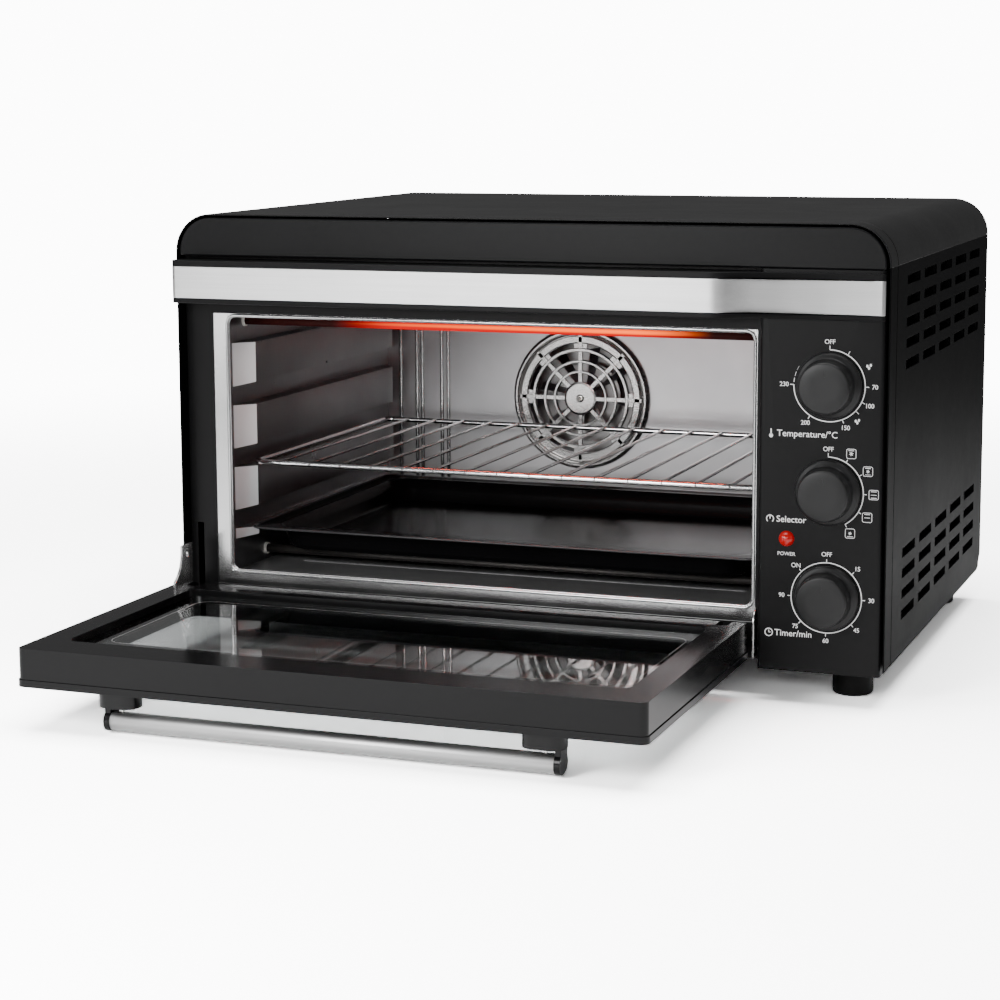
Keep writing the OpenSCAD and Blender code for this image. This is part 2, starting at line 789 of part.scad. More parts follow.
module wire_rack() {
    r = rack_frame_d / 2;
    bend = 9;
    x = shelf_half_w - r;
    y0 = rack_y + r;
    y1 = rack_y + rack_len - r;
    color([0.8, 0.8, 0.8]) translate([cavity_mid, 0, rack_z]) {
        for (s = [-1, 1]) rod_y(s * x, 0, y0 + bend, y1 - bend, r);
        for (y = [y0, y1]) rod_x(y, 0, -x + bend, x - bend, r);
        for (c = [[x - bend, y1 - bend, 0], [-x + bend, y1 - bend, 90], [-x + bend, y0 + bend, 180], [x - bend, y0 + bend, 270]])
            translate([c[0], c[1], 0]) rotate([0, 0, c[2]]) rotate_extrude(angle = 90) translate([bend, 0]) circle(r);
        for (k = [0:rack_wires - 1])
            rod_y((k - (rack_wires - 1) / 2) * rack_pitch, 0.8, y0, y1, rack_wire_d / 2);
    }
}

module baking_tray() {
    rim_t = 1.5;
    y1 = tray_y + tray_len;
    inset = shelf_half_w - tray_body_half_w;
    color([0.03, 0.03, 0.03]) translate([cavity_mid, 0, 0]) difference() {
        union() {
            translate([0, 0, tray_z]) linear_extrude(rim_t)
                round_rect([-shelf_half_w, tray_y], [shelf_half_w, y1], 16);
            translate([0, 0, tray_z - tray_depth]) linear_extrude(tray_depth + rim_t / 2)
                round_rect([-tray_body_half_w, tray_y + inset], [tray_body_half_w, y1 - inset], 14);
        }
        translate([0, 0, tray_z - tray_depth + tray_t]) linear_extrude(tray_depth + 5)
            round_rect([-tray_body_half_w + tray_t, tray_y + inset + tray_t],
                [tray_body_half_w - tray_t, y1 - inset - tray_t], 14 - tray_t);
    }
}

// ---------- door ----------

// rectangle of the door's glass opening, made wider by grow
module glass_rect(grow) {
    round_rect([door_left + door_side_w + glass_rest - grow, door_front + door_rail_w + glass_rest - grow],
        [door_right - door_side_w - glass_rest + grow, door_rear - door_rail_w - glass_rest + grow], 8);
}

// notches for the hinge ears in the door's bottom edge
module ear_notches() {
    for (x = ear_x) block([x - notch_w / 2, pivot_y - ear_r - 3, door_bottom_z - 1],
        [x + notch_w / 2, door_rear + 1, door_top_z + 1]);
}

module pin_bores() {
    for (x = ear_x) rod_x(pivot_y, pivot_z, x - pin_half, x + pin_half, pin_d / 2);
}

inner_z = door_bottom_z + door_plate_t;

module door_outer_plate() {
    color([0.03, 0.03, 0.03]) difference() {
        translate([0, 0, door_bottom_z]) linear_extrude(door_plate_t)
            round_rect([door_left, door_front], [door_right, door_rear], door_r);
        translate([0, 0, door_bottom_z - 1]) linear_extrude(door_plate_t + 2) glass_rect(0);
        translate([0, 0, door_bottom_z + 1]) linear_extrude(door_plate_t) glass_rect(glass_rest);
        ear_notches();
        pin_bores();
        for (x = post_xs) translate([x, handle_y, door_bottom_z - 1]) cylinder(h = 30, r = screw_d / 2);
    }
}

module door_inner_frame() {
    color([0.04, 0.04, 0.04]) difference() {
        translate([0, 0, inner_z]) linear_extrude(door_t - door_plate_t)
            round_rect([door_left + plate_lap, door_front + plate_lap],
                [door_right - plate_lap, door_rear - plate_lap], door_r - plate_lap);
        translate([0, 0, inner_z - 1]) linear_extrude(door_t) glass_rect(0);
        translate([0, 0, door_top_z - glass_inset - glass_t]) linear_extrude(door_t) glass_rect(glass_rest);
        ear_notches();
        pin_bores();
        for (x = post_xs) translate([x, handle_y, inner_z - 1]) cylinder(h = 9, r = screw_d / 2);
        block([arm_x - arm_t / 2, pivot_y - 22, door_top_z - 12],
            [arm_x + arm_t / 2, pivot_y + arm_back, door_top_z + 1]);
        difference() {
            block([door_left - 1, pivot_y, pivot_z], [door_right + 1, door_rear + 1, door_top_z + 5]);
            rod_x(pivot_y, pivot_z, door_left - 2, door_right + 2, hinge_round);
        }
    }
}

module door_outer_glass() {
    color([0.3, 0.3, 0.32, 0.5]) translate([0, 0, door_bottom_z + 1]) linear_extrude(glass_t)
        glass_rect(glass_rest - contact_gap);
}

module door_inner_glass() {
    color([0.3, 0.3, 0.32, 0.5]) translate([0, 0, door_top_z - glass_inset - glass_t]) linear_extrude(glass_t)
        glass_rect(glass_rest - contact_gap);
}

post_xs = [door_mid - handle_pitch / 2, door_mid + handle_pitch / 2];

module handle_tube() {
    color([0.8, 0.8, 0.8]) difference() {
        rod_x(handle_y, handle_z, door_mid - handle_len / 2, door_mid + handle_len / 2, handle_d / 2);
        rod_x(handle_y, handle_z, door_mid - handle_len, door_mid + handle_len, handle_d / 2 - 1);
        for (x = post_xs) translate([x, handle_y, handle_z]) cylinder(h = 20, r = screw_d / 2 + contact_gap);
    }
}

// post against the door, and the cap that closes the tube's end beside it
module handle_post(x, side) {
    tube_end = door_mid + side * handle_len / 2;
    cap_low = tube_end - (side > 0 ? 0 : cap_w);
    difference() {
        union() {
            translate([0, 0, door_bottom_z - post_h]) linear_extrude(post_h)
                round_rect([x - post_w / 2, handle_y - post_d / 2 - 2], [x + post_w / 2, handle_y + post_d / 2 - 2], 9);
            hull() {
                rod_x(handle_y, handle_z, cap_low, cap_low + cap_w, cap_d / 2);
                rod_x(handle_y + 4, handle_z, cap_low, cap_low + cap_w, cap_d / 2 - 1);
            }
            translate([cap_low, handle_y - 4, handle_z]) cube([cap_w, 12, door_bottom_z - handle_z - 1]);
            rod_x(handle_y, handle_z, tube_end - (side > 0 ? handle_len / 2 - handle_pitch / 2 + 12 : 1),
                tube_end + (side > 0 ? 1 : handle_len / 2 - handle_pitch / 2 + 12), handle_d / 2 - 1);
        }
        translate([x, handle_y, handle_z - 2]) cylinder(h = 40, r = screw_d / 2);
    }
}

module handle_posts() {
    color([0.04, 0.04, 0.04]) {
        handle_post(post_xs[0], -1);
        handle_post(post_xs[1], 1);
    }
}

module handle_screws() {
    color([0.75, 0.75, 0.75]) for (x = post_xs)
        translate([x, handle_y, handle_z - 2]) cylinder(h = inner_z + 7 - handle_z, r = screw_d / 2);
}

// steel arm at the door's left side, which swings into the body as the door shuts
module door_hinge_arm() {
    reach = door_top_z + arm_h - pivot_z;
    color([0.7, 0.7, 0.7]) translate([arm_x - arm_t / 2, 0, 0]) rotate([90, 0, 90])
        linear_extrude(arm_t) difference() {
            intersection() {
                translate([pivot_y, pivot_z]) circle(reach);
                translate([pivot_y - 22, door_top_z - 12]) square([22 + arm_back, arm_h + 14]);
            }
            translate([pivot_y - 34, door_top_z + 25]) circle(24);
            translate([pivot_y - 3, door_top_z + arm_h - 8]) circle(2);
        }
}

module door_hinge_pins() {
    color([0.75, 0.75, 0.75]) for (x = ear_x) rod_x(pivot_y, pivot_z, x - pin_half, x + pin_half, pin_d / 2);
}

// fixed ears on the front frame that carry the door's pins
module hinge_ears() {
    foot_w = 5;
    color([0.7, 0.7, 0.7]) for (x = ear_x) translate([x, 0, 0]) difference() {
        union() {
            rod_x(pivot_y, pivot_z, -ear_t / 2, ear_t / 2, ear_r);
            block([-ear_t / 2, pivot_y, pivot_z - ear_r], [ear_t / 2, frame_y + 2, pivot_z + ear_r]);
            block([-foot_w, frame_y + 1, pivot_z - ear_r], [foot_w, frame_y + 2.5, pivot_z + ear_r]);
        }
        rod_x(pivot_y, pivot_z, -ear_t, ear_t, pin_d / 2 + running_gap);
    }
}

// quarter-round plate beside the door's right edge
module hinge_stop_plate() {
    plate_t = 1.5;
    depth = frame_y - 0.5;
    low = base_z + 3;
    rise = 35;
    color([0.75, 0.75, 0.75]) translate([door_right + 1.4, 0, 0]) rotate([90, 0, 90]) linear_extrude(plate_t)
        intersection() {
            translate([frame_y - depth, low]) square([depth, rise]);
            union() {
                translate([frame_y, low + rise - depth]) circle(depth);
                translate([0, low]) square([frame_y, rise - depth]);
            }
        }
}

// ---------- assembly ----------

placed() top_cover();
placed() left_side_panel();
placed() right_side_panel();
placed() rear_panel();
placed() base_plate();
placed() front_frame();
placed() upper_fascia();
placed() control_panel();
placed() trim_rail();
placed() trim_strip();
placed() front_left_foot();
placed() front_right_foot();
placed() rear_left_foot();
placed() rear_right_foot();
placed() foot_screws();
placed() rear_panel_screws();
placed() cord_bushing();
placed() power_lamp_lens();
placed() power_lamp_holder();
placed() thermostat();
placed() thermostat_bulb();
placed() selector_switch();
placed() timer_mechanism();
placed() terminal_block();
placed() temperature_knob();
placed() temperature_shaft();
placed() selector_knob();
placed() selector_shaft();
placed() timer_knob();
placed() timer_shaft();
placed() cavity_left_wall();
placed() cavity_right_wall();
placed() cavity_back_wall();
placed() cavity_ceiling();
placed() cavity_floor();
placed() cavity_front_flange();
placed() upper_front_heater();
placed() upper_rear_heater();
placed() lower_front_heater();
placed() lower_rear_heater();
placed() heater_insulators();
placed() fan_grille();
placed() fan_grille_screw();
placed() fan_chamber();
placed() fan_impeller();
placed() fan_shaft();
placed() fan_motor();
placed() wire_rack();
placed() baking_tray();
placed() door_outer_plate();
placed() door_inner_frame();
placed() door_outer_glass();
placed() door_inner_glass();
placed() handle_tube();
placed() handle_posts();
placed() handle_screws();
placed() door_hinge_arm();
placed() door_hinge_pins();
placed() hinge_ears();
placed() hinge_stop_plate();
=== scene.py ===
# %% [markdown]
# # A toaster oven with its door open
# The oven's solids come packed from the CAD step. This lesson dresses them: sheet
# metal gets soft edges, the dials get their printing, the rack becomes bent wire.
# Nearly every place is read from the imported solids, so the looks stay on the frame.

# %% Load the frame
import math

import bmesh
import bpy
from mathutils import Matrix, Vector


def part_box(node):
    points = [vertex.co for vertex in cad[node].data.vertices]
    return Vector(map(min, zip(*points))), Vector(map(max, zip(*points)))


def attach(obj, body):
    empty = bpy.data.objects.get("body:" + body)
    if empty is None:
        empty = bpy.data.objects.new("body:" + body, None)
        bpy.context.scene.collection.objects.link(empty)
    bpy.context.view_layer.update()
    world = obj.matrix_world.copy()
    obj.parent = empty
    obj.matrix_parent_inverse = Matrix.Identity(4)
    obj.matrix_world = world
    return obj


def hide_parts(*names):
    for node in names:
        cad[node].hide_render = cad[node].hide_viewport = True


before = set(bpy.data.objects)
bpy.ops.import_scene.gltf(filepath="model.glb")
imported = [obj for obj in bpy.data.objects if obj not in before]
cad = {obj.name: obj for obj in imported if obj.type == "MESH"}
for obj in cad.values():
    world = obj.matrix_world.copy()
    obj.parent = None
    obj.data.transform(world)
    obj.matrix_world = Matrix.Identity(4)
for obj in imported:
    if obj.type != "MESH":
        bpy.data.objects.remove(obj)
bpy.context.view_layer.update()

# %% [markdown]
# ## Places
# The front of the control panel is the plane that most sizes start from. Small
# helpers read a solid's corners and middle, so that few places are typed in.

# %% Read the places
def low(node):
    return Vector(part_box(node)[0])


def high(node):
    return Vector(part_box(node)[1])


def middle(node):
    return (low(node) + high(node)) / 2


front_y = low("control_panel").y
half_width = high("top_cover").x
roof_z = high("top_cover").z
base_z = low("left_side_panel").z
print("front plane", round(front_y, 4), "roof", round(roof_z, 4))

# %% [markdown]
# ## Camera
# The camera stands to the right of the oven, a little above it, with a long lens.
# Its turning is built from the three directions it sees along, which is easier to
# read than three angles.

# %% Camera
camera_place = (0.5768, front_y - 1.5682, 0.4167)
camera_yaw, camera_pitch, camera_roll = (math.radians(a) for a in (20.554, 8.506, -0.276))


def looking(yaw, pitch, roll):
    ahead = Vector((-math.sin(yaw) * math.cos(pitch), math.cos(yaw) * math.cos(pitch), -math.sin(pitch)))
    right = Vector((math.cos(yaw), math.sin(yaw), 0))
    up = right.cross(ahead)
    right, up = (right * math.cos(roll) + up * math.sin(roll),
                 up * math.cos(roll) - right * math.sin(roll))
    return Matrix((right, up, -ahead)).transposed().to_4x4()


lens = bpy.data.cameras.new("camera")
lens.lens = 86.2
lens.sensor_width = 36
lens.shift_y = -0.05
lens.clip_end = 50
camera = bpy.data.objects.new("camera", lens)
bpy.context.scene.collection.objects.link(camera)
camera.matrix_world = Matrix.Translation(camera_place) @ looking(camera_yaw, camera_pitch, camera_roll)
bpy.context.scene.camera = camera
print("camera at", [round(v, 3) for v in camera.matrix_world.translation])

# %% [markdown]
# ## Node helpers
# A node tree is a list of nodes and the links between them. Two helpers make each
# node one readable call: its kind, then what goes into each of its inputs.

# %% Node helpers
def feed(tree, socket, value):
    """Links another node's output to a socket, or sets a plain value on it."""
    if isinstance(value, bpy.types.NodeSocket):
        tree.links.new(value, socket)
    else:
        socket.default_value = value


def add(tree, kind, values):
    """Adds a node and feeds its inputs, given by name or by number."""
    node = tree.nodes.new(kind)
    for label, value in values.items():
        feed(tree, node.inputs[label], value)
    return node


# %% [markdown]
# ## Floor and light
# Black paint shows only what it mirrors. So the room is dim where the oven mirrors
# it and bright only to the camera, which a Light Path node can tell apart. One large
# light hangs above, others stand at the sides and in front, and two small ones are
# for one piece each: the steel strip and the glowing heater.

# %% Lights
def area_light(name, place, aim, size, power, tint=(1, 1, 1)):
    data = bpy.data.lights.new(name, "AREA")
    data.shape = "RECTANGLE"
    data.size, data.size_y = size
    data.energy = power
    data.color = tint
    light = bpy.data.objects.new(name, data)
    bpy.context.scene.collection.objects.link(light)
    light.location = place
    light.rotation_euler = (Vector(aim) - Vector(place)).to_track_quat("-Z", "Y").to_euler()
    return light


area_light("top_light", (0, 0.0, 2.4), (0, 0, 0), (2.6, 2.0), 96)
area_light("right_light", (2.4, -0.2, 0.8), (0.26, 0.05, 0.16), (0.35, 1.3), 3)
area_light("left_light", (-2.0, -1.7, 1.1), (0, -0.1, 0.1), (0.6, 1.5), 22)
area_light("front_light", (0.5, -2.4, 0.9), (0, 0, 0.15), (1.6, 0.25), 12)
area_light("cavity_light", (-0.28, -1.1, 0.55), (-0.05, 0.2, 0.14), (0.35, 0.35), 9)
bpy.context.view_layer.update()
eye = camera.matrix_world.translation
strip = middle("trim_strip")
bounce = Vector((strip.x - eye.x, eye.y - strip.y, strip.z - eye.z))
card_z = 0.05
card = strip + bounce * ((card_z - strip.z) / bounce.z)
print("strip light at", [round(v, 2) for v in card])
area_light("strip_light", card, strip, (1.9, 0.09), 8).visible_camera = False
heat = low("upper_front_heater")
heat_x = -0.01
area_light("heater_light", (heat_x, heat.y - 0.001, heat.z - 0.004), (heat_x, heat.y + 0.02, heat.z - 0.1),
           (0.26, 0.003), 0.10, (1, 0.10, 0.05)).visible_camera = False

# %% Room
room_seen, room_mirrored = 12.0, 0.16
world = bpy.data.worlds.new("studio")
bpy.context.scene.world = world
world.use_nodes = True
sky = world.node_tree
seen = sky.nodes["Background"]
seen.inputs["Color"].default_value = (1, 1, 1, 1)
seen.inputs["Strength"].default_value = room_seen
room = add(sky, "ShaderNodeBackground", {"Color": (1, 1, 1, 1), "Strength": room_mirrored})
by_camera = sky.nodes.new("ShaderNodeLightPath").outputs["Is Camera Ray"]
both = add(sky, "ShaderNodeMixShader", {"Fac": by_camera, 1: room.outputs[0], 2: seen.outputs[0]})
sky.links.new(both.outputs[0], sky.nodes["World Output"].inputs["Surface"])

# %% Floor
reach = 9
floor_mesh = bpy.data.meshes.new("floor")
floor_mesh.from_pydata([(-reach, -reach, 0), (reach, -reach, 0), (reach, reach, 0), (-reach, reach, 0)], [],
                       [(0, 1, 2, 3)])
floor = bpy.data.objects.new("floor", floor_mesh)
bpy.context.scene.collection.objects.link(floor)
floor_paint = bpy.data.materials.new("floor_paint")
floor_paint.use_nodes = True
paint = floor_paint.node_tree
camera_ray = paint.nodes.new("ShaderNodeLightPath").outputs["Is Camera Ray"]


def by_ray(seen_value, other_value):
    """One value for the camera and another for what mirrors the floor."""
    level = add(paint, "ShaderNodeMapRange", {"Value": camera_ray, "To Min": other_value,
                                              "To Max": seen_value})
    return level.outputs["Result"]


floor_seen, floor_mirrored = 4.6, 1.3
fade_start, fade_end = 0.55, 1.9
matt = add(paint, "ShaderNodeBsdfDiffuse", {"Color": by_ray(floor_seen, floor_mirrored)})
bright = add(paint, "ShaderNodeEmission", {"Strength": by_ray(room_seen, room_mirrored)})
distance = add(paint, "ShaderNodeVectorMath", {0: paint.nodes.new("ShaderNodeTexCoord").outputs["Object"]})
distance.operation = "LENGTH"
fade = add(paint, "ShaderNodeMapRange", {"Value": distance.outputs["Value"], "From Min": fade_start,
                                         "From Max": fade_end})
fade.interpolation_type = "SMOOTHSTEP"
blend = add(paint, "ShaderNodeMixShader", {"Fac": fade.outputs["Result"], 1: matt.outputs[0],
                                           2: bright.outputs[0]})
paint.links.new(blend.outputs[0], paint.nodes["Material Output"].inputs["Surface"])
floor.data.materials.append(floor_paint)
print("floor and", len(bpy.data.lights), "lights")

# %% [markdown]
# ## Shared surface effects
# Real paint is never one colour. Four small node groups give the effects that
# several finishes share: a patchy tone, a worn gloss, a fine grain to feel, and the
# long scratches of brushed steel. Each finish sets its own amounts.

# %% Node group helper
def effect(name, numbers, outputs):
    """A shader node group with a Vector, named number inputs and named outputs."""
    tree = bpy.data.node_groups.new(name, "ShaderNodeTree")
    tree.interface.new_socket("Vector", in_out="INPUT", socket_type="NodeSocketVector")
    for label, value in numbers.items():
        socket = tree.interface.new_socket(label, in_out="INPUT", socket_type="NodeSocketFloat")
        socket.default_value = value
    for label in outputs:
        tree.interface.new_socket(label, in_out="OUTPUT", socket_type="NodeSocketFloat")
    start = tree.nodes.new("NodeGroupInput")
    end = tree.nodes.new("NodeGroupOutput")
    return tree, start, end


def math_node(tree, operation, a, b=None, clamp=False):
    node = tree.nodes.new("ShaderNodeMath")
    node.operation = operation
    node.use_clamp = clamp
    for socket, value in zip(node.inputs, (a, b)):
        if value is not None:
            feed(tree, socket, value)
    return node.outputs[0]


def noise(tree, start, scale, **numbers):
    """A cloudy pattern over the effect's own Vector."""
    values = {"Vector": start.outputs["Vector"], "Scale": scale, **numbers}
    return add(tree, "ShaderNodeTexNoise", values).outputs["Fac"]


# %% Patches, wear, grain and brushing
def build_patches():
    tree, start, end = effect("patches", {"Scale": 6.0, "Contrast": 1.0}, ["Mask"])
    centred = math_node(tree, "SUBTRACT", noise(tree, start, start.outputs["Scale"], Detail=5), 0.5)
    spread = math_node(tree, "MULTIPLY", centred, start.outputs["Contrast"])
    tree.links.new(math_node(tree, "ADD", spread, 0.5, True), end.inputs["Mask"])
    return tree


def build_worn_gloss():
    tree, start, end = effect("worn_gloss", {"Scale": 20.0, "Base": 0.3, "Spread": 0.1}, ["Roughness"])
    total = start.outputs["Base"]
    for factor, detail, share in ((1.0, 4, 1.0), (9.0, 6, 0.5)):
        scale = math_node(tree, "MULTIPLY", start.outputs["Scale"], factor)
        smear = noise(tree, start, scale, Detail=detail, Distortion=0.6)
        centred = math_node(tree, "SUBTRACT", smear, 0.5)
        part = math_node(tree, "MULTIPLY", centred, start.outputs["Spread"])
        total = math_node(tree, "ADD", total, math_node(tree, "MULTIPLY", part, share), True)
    tree.links.new(total, end.inputs["Roughness"])
    return tree


def build_fine_grain():
    tree, start, end = effect("fine_grain", {"Scale": 1500.0}, ["Height"])
    cells = tree.nodes.new("ShaderNodeTexVoronoi")
    cells.feature = "SMOOTH_F1"
    for label in ("Vector", "Scale"):
        tree.links.new(start.outputs[label], cells.inputs[label])
    dust = noise(tree, start, math_node(tree, "MULTIPLY", start.outputs["Scale"], 0.4), Detail=3)
    tree.links.new(math_node(tree, "ADD", cells.outputs["Distance"], dust), end.inputs["Height"])
    return tree


def build_brushing():
    tree, start, end = effect("brushing", {"Fineness": 1400.0}, ["Height", "Tone"])
    for label, factor, detail in (("Height", 1.0, 4), ("Tone", 0.35, 3)):
        scale = math_node(tree, "MULTIPLY", start.outputs["Fineness"], factor)
        tree.links.new(noise(tree, start, scale, Detail=detail, Roughness=0.7), end.inputs[label])
    return tree


patches, worn_gloss = build_patches(), build_worn_gloss()
fine_grain, brushing = build_fine_grain(), build_brushing()
print("effects:", ", ".join(g.name for g in bpy.data.node_groups))

# %% [markdown]
# ## Finishes
# One maker of finishes lays two close tones over each other in patches, varies the
# gloss, and lifts a fine grain. Paint, plastic, rubber, enamel and steel differ only
# in their numbers. Numbers that hold all over go straight onto the shader.

# %% Finish maker
finishes = {}


def place_group(tree, group, vector, **numbers):
    node = tree.nodes.new("ShaderNodeGroup")
    node.node_tree = group
    for label, value in {"Vector": vector, **numbers}.items():
        feed(tree, node.inputs[label], value)
    return node


def colour_mix(tree, factor, a, b):
    mix = tree.nodes.new("ShaderNodeMix")
    mix.data_type = "RGBA"
    for label, value in (("Factor", factor), ("A", a), ("B", b)):
        feed(tree, mix.inputs[label], value)
    return mix.outputs["Result"]


def finish(name, dark, light, rough, spread=0.1, metal=0.0, grain=0.0, grain_scale=1500.0, patch_scale=8.0,
           contrast=1.4, stretch=(1, 1, 1), brushed=0.0, specular=0.5, anisotropic=0.0):
    """A material of two patchy tones, with a grain or, if brushed is set, long scratches."""
    material = bpy.data.materials.new(name)
    material.use_nodes = True
    tree = material.node_tree
    shader = tree.nodes["Principled BSDF"]
    where = tree.nodes.new("ShaderNodeTexCoord").outputs["Object"]
    tone = place_group(tree, patches, where, Scale=patch_scale, Contrast=contrast).outputs["Mask"]
    gloss = place_group(tree, worn_gloss, where, Scale=patch_scale * 2, Base=rough, Spread=spread)
    if brushed:
        scaled = add(tree, "ShaderNodeMapping", {"Vector": where, "Scale": stretch})
        lines = place_group(tree, brushing, scaled.outputs["Vector"], Fineness=1400.0)
        tone = math_node(tree, "ADD", math_node(tree, "MULTIPLY", tone, 0.5),
                         math_node(tree, "MULTIPLY", lines.outputs["Tone"], 0.5), True)
        height = lines.outputs["Height"]
    elif grain:
        height = place_group(tree, fine_grain, where, Scale=grain_scale).outputs["Height"]
    for label, value in (("Metallic", metal), ("Specular IOR Level", specular), ("Anisotropic", anisotropic),
                         ("Base Color", colour_mix(tree, tone, (*dark, 1), (*light, 1))),
                         ("Roughness", gloss.outputs["Roughness"])):
        feed(tree, shader.inputs[label], value)
    if brushed or grain:
        bump = add(tree, "ShaderNodeBump", {"Strength": brushed or grain, "Distance": 0.00004,
                                            "Height": height})
        tree.links.new(bump.outputs["Normal"], shader.inputs["Normal"])
    finishes[name] = material
    return material


def grey(level, blue=None):
    """A neutral tone, or one whose blue is set apart."""
    return (level, level, level if blue is None else blue)


# %% Paints and plastics
finish("satin_black_steel", grey(0.0022, 0.0024), grey(0.0042, 0.0045), 0.34, 0.10, grain=0.35,
       grain_scale=1100, specular=0.12)
# A darker, less mirroring copy of the satin black paint for the side panels: painted shade on the sides.
finish("side_black_painted_shade", grey(0.0018, 0.0019), grey(0.0030, 0.0032), 0.42, 0.08, grain=0.3, grain_scale=1100,
       specular=0.012)
finish("black_enamel_sheet", grey(0.004), grey(0.008), 0.42, 0.14, grain=0.4, grain_scale=900, specular=0.12)
finish("black_fascia_plastic", grey(0.003, 0.0032), grey(0.005, 0.0053), 0.36, 0.08, grain=0.25,
       grain_scale=1800, specular=0.12)
finish("door_plastic", grey(0.0025, 0.0027), grey(0.0045, 0.0048), 0.18, 0.05, grain=0.03, specular=0.16)
finish("black_foot_rubber", grey(0.003), grey(0.006), 0.55, 0.18, grain=0.7, grain_scale=700, specular=0.12)
finish("knob_plastic", grey(0.007, 0.0072), grey(0.010, 0.0103), 0.36, 0.10, grain=0.3, grain_scale=1600,
       specular=0.25)
finish("handle_plastic", grey(0.003, 0.0032), grey(0.005, 0.0053), 0.24, 0.08, grain=0.1, specular=0.2)
finish("pale_plastic", (0.72, 0.70, 0.64), (0.82, 0.80, 0.75), 0.45, 0.1, grain=0.2)
finish("switch_plastic", grey(0.08, 0.085), grey(0.13, 0.135), 0.4, 0.1, grain=0.3)
finish("print_white", grey(0.72), grey(0.82), 0.5, 0.1, grain=0.2)
finish("frit_black", grey(0.0015, 0.0017), grey(0.003, 0.0033), 0.16, 0.06, grain=0.1)
print("paints and plastics:", len(finishes))

# %% Metals and enamel
finish("brushed_trim", grey(0.62), grey(1.0), 0.30, 0.08, 1.0, brushed=0.7, stretch=(0.02, 1, 1),
       anisotropic=0.4)
finish("handle_steel", grey(0.40), grey(0.58), 0.42, 0.08, 1.0, brushed=0.5, stretch=(0.02, 1, 1),
       anisotropic=0.3)
finish("zinc_screw", (0.55, 0.55, 0.53), (0.75, 0.74, 0.70), 0.25, 0.12, 1.0, grain=0.3)
finish("switch_metal", (0.55, 0.54, 0.50), (0.70, 0.69, 0.65), 0.38, 0.12, 1.0, grain=0.3)
finish("copper_bulb", (0.60, 0.28, 0.16), (0.75, 0.42, 0.28), 0.3, 0.12, 1.0, grain=0.2)
finish("shaft_steel", grey(0.55), grey(0.7), 0.3, 0.1, 1.0, brushed=0.3, stretch=(1, 0.05, 1))
finish("cavity_steel", grey(0.40, 0.41), grey(0.55, 0.555), 0.34, 0.12, 0.85, grain=0.3, grain_scale=420,
       patch_scale=11, contrast=2.0)
# The cavity sheet in a darker tone for the side walls: painted shade. The floor, back and ceiling keep the
# lighter cavity_steel.
finish("wall_steel_painted_shade", grey(0.20, 0.206), grey(0.32, 0.326), 0.30, 0.10, 0.9, grain=0.25, grain_scale=420,
       patch_scale=11)
# A brighter copy of the wall steel for the front-facing ends of the shelf guides: a painted highlight.
finish("guide_end_painted_highlight", grey(0.85), grey(0.95), 0.45, 0.08, 0.5, grain=0.2, grain_scale=420)
finish("flange_steel", grey(0.44), grey(0.60), 0.22, 0.10, 1.0, grain=0.25, grain_scale=420)
# A darkened sheet for the fan chamber, blades and hub: painted shade in the hollow behind the grille.
finish("fan_sheet", grey(0.30), grey(0.42), 0.4, 0.12, 1.0, grain=0.4, grain_scale=500)
finish("motor_steel", grey(0.40, 0.41), grey(0.55, 0.56), 0.42, 0.12, 1.0, grain=0.4)
finish("chrome_wire", grey(0.72, 0.73), grey(0.86, 0.87), 0.12, 0.08, 1.0, grain=0.1)
finish("hinge_steel", grey(0.42), grey(0.55, 0.545), 0.26, 0.10, 1.0, grain=0.06)
finish("tray_enamel", grey(0.002, 0.0022), grey(0.004, 0.0045), 0.20, 0.06, grain=0.10, grain_scale=260,
       specular=0.015)
finish("insulator_ceramic", (0.80, 0.77, 0.70), (0.90, 0.88, 0.83), 0.6, 0.1, grain=0.4, grain_scale=900)
print("all finishes:", len(finishes))

# %% [markdown]
# Three finishes need more than two tones. The heater glows in its middle and fades
# to dull metal at its ends. Glass lets light through and has faint smears. The
# lamp's lens is a clear red plastic with a light behind it.

# %% Glowing heater
def heater_finish(name, core, edge, reach, centre, strength):
    """The core colour shows where the sheath faces the eye, and the edge colour round it."""
    tree = finish(name, (0.02, 0.003, 0.003), (0.05, 0.008, 0.006), 0.6, 0.1, 0.0, grain=0.3,
                  specular=0.1).node_tree
    shader = tree.nodes["Principled BSDF"]
    where = tree.nodes.new("ShaderNodeTexCoord").outputs["Object"]
    x = add(tree, "ShaderNodeSeparateXYZ", {0: where}).outputs["X"]
    away = math_node(tree, "ABSOLUTE", math_node(tree, "SUBTRACT", x, centre))
    fade = add(tree, "ShaderNodeMapRange", {"Value": away, "From Min": reach - 0.05,
                                            "From Max": reach + 0.012, "To Min": 1.0, "To Max": 0.0})
    fade.interpolation_type = "SMOOTHSTEP"
    rim = add(tree, "ShaderNodeLayerWeight", {"Blend": 0.5})
    narrow = add(tree, "ShaderNodeMapRange", {"Value": rim.outputs["Facing"], "From Max": 0.2})
    glow = colour_mix(tree, narrow.outputs["Result"], core, edge)
    feed(tree, shader.inputs["Emission Color"], colour_mix(tree, fade.outputs["Result"], (0, 0, 0, 1), glow))
    shader.inputs["Emission Strength"].default_value = strength


oven_middle_x = middle("cavity_ceiling").x
heater_finish("heater_glow", (3.5, 0.40, 0.0, 1), (1.0, 0.0, 0.0, 1), 0.137, oven_middle_x + 0.013, 1.0)
heater_finish("heater_dull", (0.35, 0.64, 0.01, 1), (0.10, 0.004, 0.001, 1), 0.150, oven_middle_x, 0.3)
print("glow centre", round(oven_middle_x, 4))


